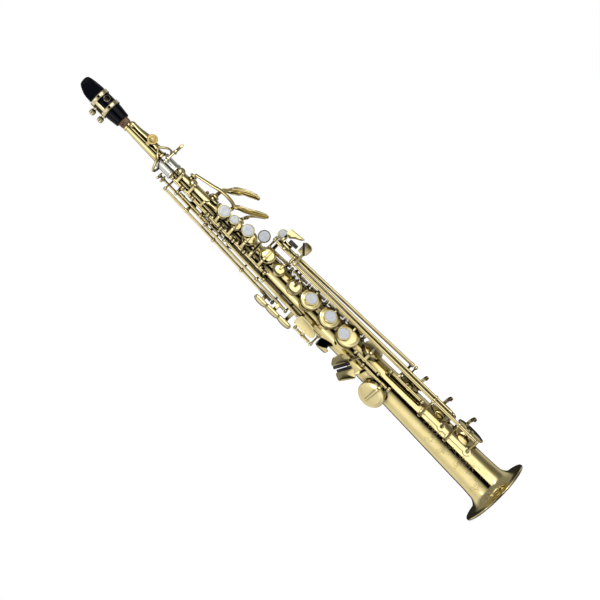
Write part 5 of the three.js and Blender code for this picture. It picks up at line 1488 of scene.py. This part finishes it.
for element, (place, level) in zip(bands.color_ramp.elements, studio["bands"]):
    element.position = place
    element.color = (level / 2, level / 2, level / 2, 1)
tree.links.new(turnPlace.outputs["Result"], bands.inputs["Fac"])
ceiling = tree.nodes.new("ShaderNodeMapRange")
ceiling.inputs["From Min"].default_value, ceiling.inputs["From Max"].default_value = studio["ceilingRange"]
tree.links.new(parts.outputs["Z"], ceiling.inputs["Value"])
mixTop = tree.nodes.new("ShaderNodeMix")
mixTop.data_type = "RGBA"
tree.links.new(ceiling.outputs["Result"], mixTop.inputs["Factor"])
tree.links.new(bands.outputs["Color"], mixTop.inputs["A"])
mixTop.inputs["B"].default_value = (*[studio["ceiling"]] * 3, 1)
ground = tree.nodes.new("ShaderNodeMapRange")
ground.inputs["From Min"].default_value, ground.inputs["From Max"].default_value = studio["belowRange"]
tree.links.new(parts.outputs["Z"], ground.inputs["Value"])
mixGround = tree.nodes.new("ShaderNodeMix")
mixGround.data_type = "RGBA"
tree.links.new(ground.outputs["Result"], mixGround.inputs["Factor"])
tree.links.new(mixTop.outputs["Result"], mixGround.inputs["A"])
mixGround.inputs["B"].default_value = (*[studio["below"]] * 3, 1)
surround = tree.nodes.new("ShaderNodeBackground")
surround.inputs["Strength"].default_value = studio["strength"]
tree.links.new(mixGround.outputs["Result"], surround.inputs["Color"])
plainWhite = tree.nodes.new("ShaderNodeBackground")
plainWhite.inputs["Color"].default_value = (1, 1, 1, 1)
plainWhite.inputs["Strength"].default_value = studio["background"]
seen = tree.nodes.new("ShaderNodeLightPath")
choose = tree.nodes.new("ShaderNodeMixShader")
tree.links.new(seen.outputs["Is Camera Ray"], choose.inputs["Fac"])
tree.links.new(surround.outputs[0], choose.inputs[1])
tree.links.new(plainWhite.outputs[0], choose.inputs[2])
tree.links.new(choose.outputs[0], output.inputs["Surface"])

lamps = (("keyPanel", (1.3, -1.5, 1.2), (0.5, 0.9), 4), ("fillPanel", (-1.6, -1.1, 0.7), (0.3, 1.0), 1.6),
         ("topPanel", (0.1, 0.2, 2.0), (0.8, 0.8), 2))
aim = vec(0, 0, 0.33)
for name, place, size, watts in lamps:
    light = bpy.data.lights.new(name, "AREA")
    light.shape = "RECTANGLE"
    light.size, light.size_y = size
    light.energy = watts
    lamp = bpy.data.objects.new(name, light)
    lamp.location = place
    lamp.rotation_euler = (aim - Vector(place)).to_track_quat("-Z", "Y").to_euler()
    scene.collection.objects.link(lamp)

view = {"distance": 1.8, "aim": (-0.0017, 0.0, 0.3193), "lens": 92.9}
camera = bpy.data.cameras.new("camera")
camera.lens = view["lens"]
camera.sensor_width = 36
camera.clip_start = 0.01
viewer = bpy.data.objects.new("camera", camera)
scene.collection.objects.link(viewer)
ahead = vec(0, 1, 0)
imageUp = vec(1, 0, 1).normalized()
imageRight = ahead.cross(imageUp)
pose = Matrix((imageRight, imageUp, -ahead)).transposed().to_4x4()
pose.translation = Vector(view["aim"]) - ahead * view["distance"]
viewer.matrix_world = pose
scene.camera = viewer
scene.view_settings.view_transform = "Standard"
print("stage ready")
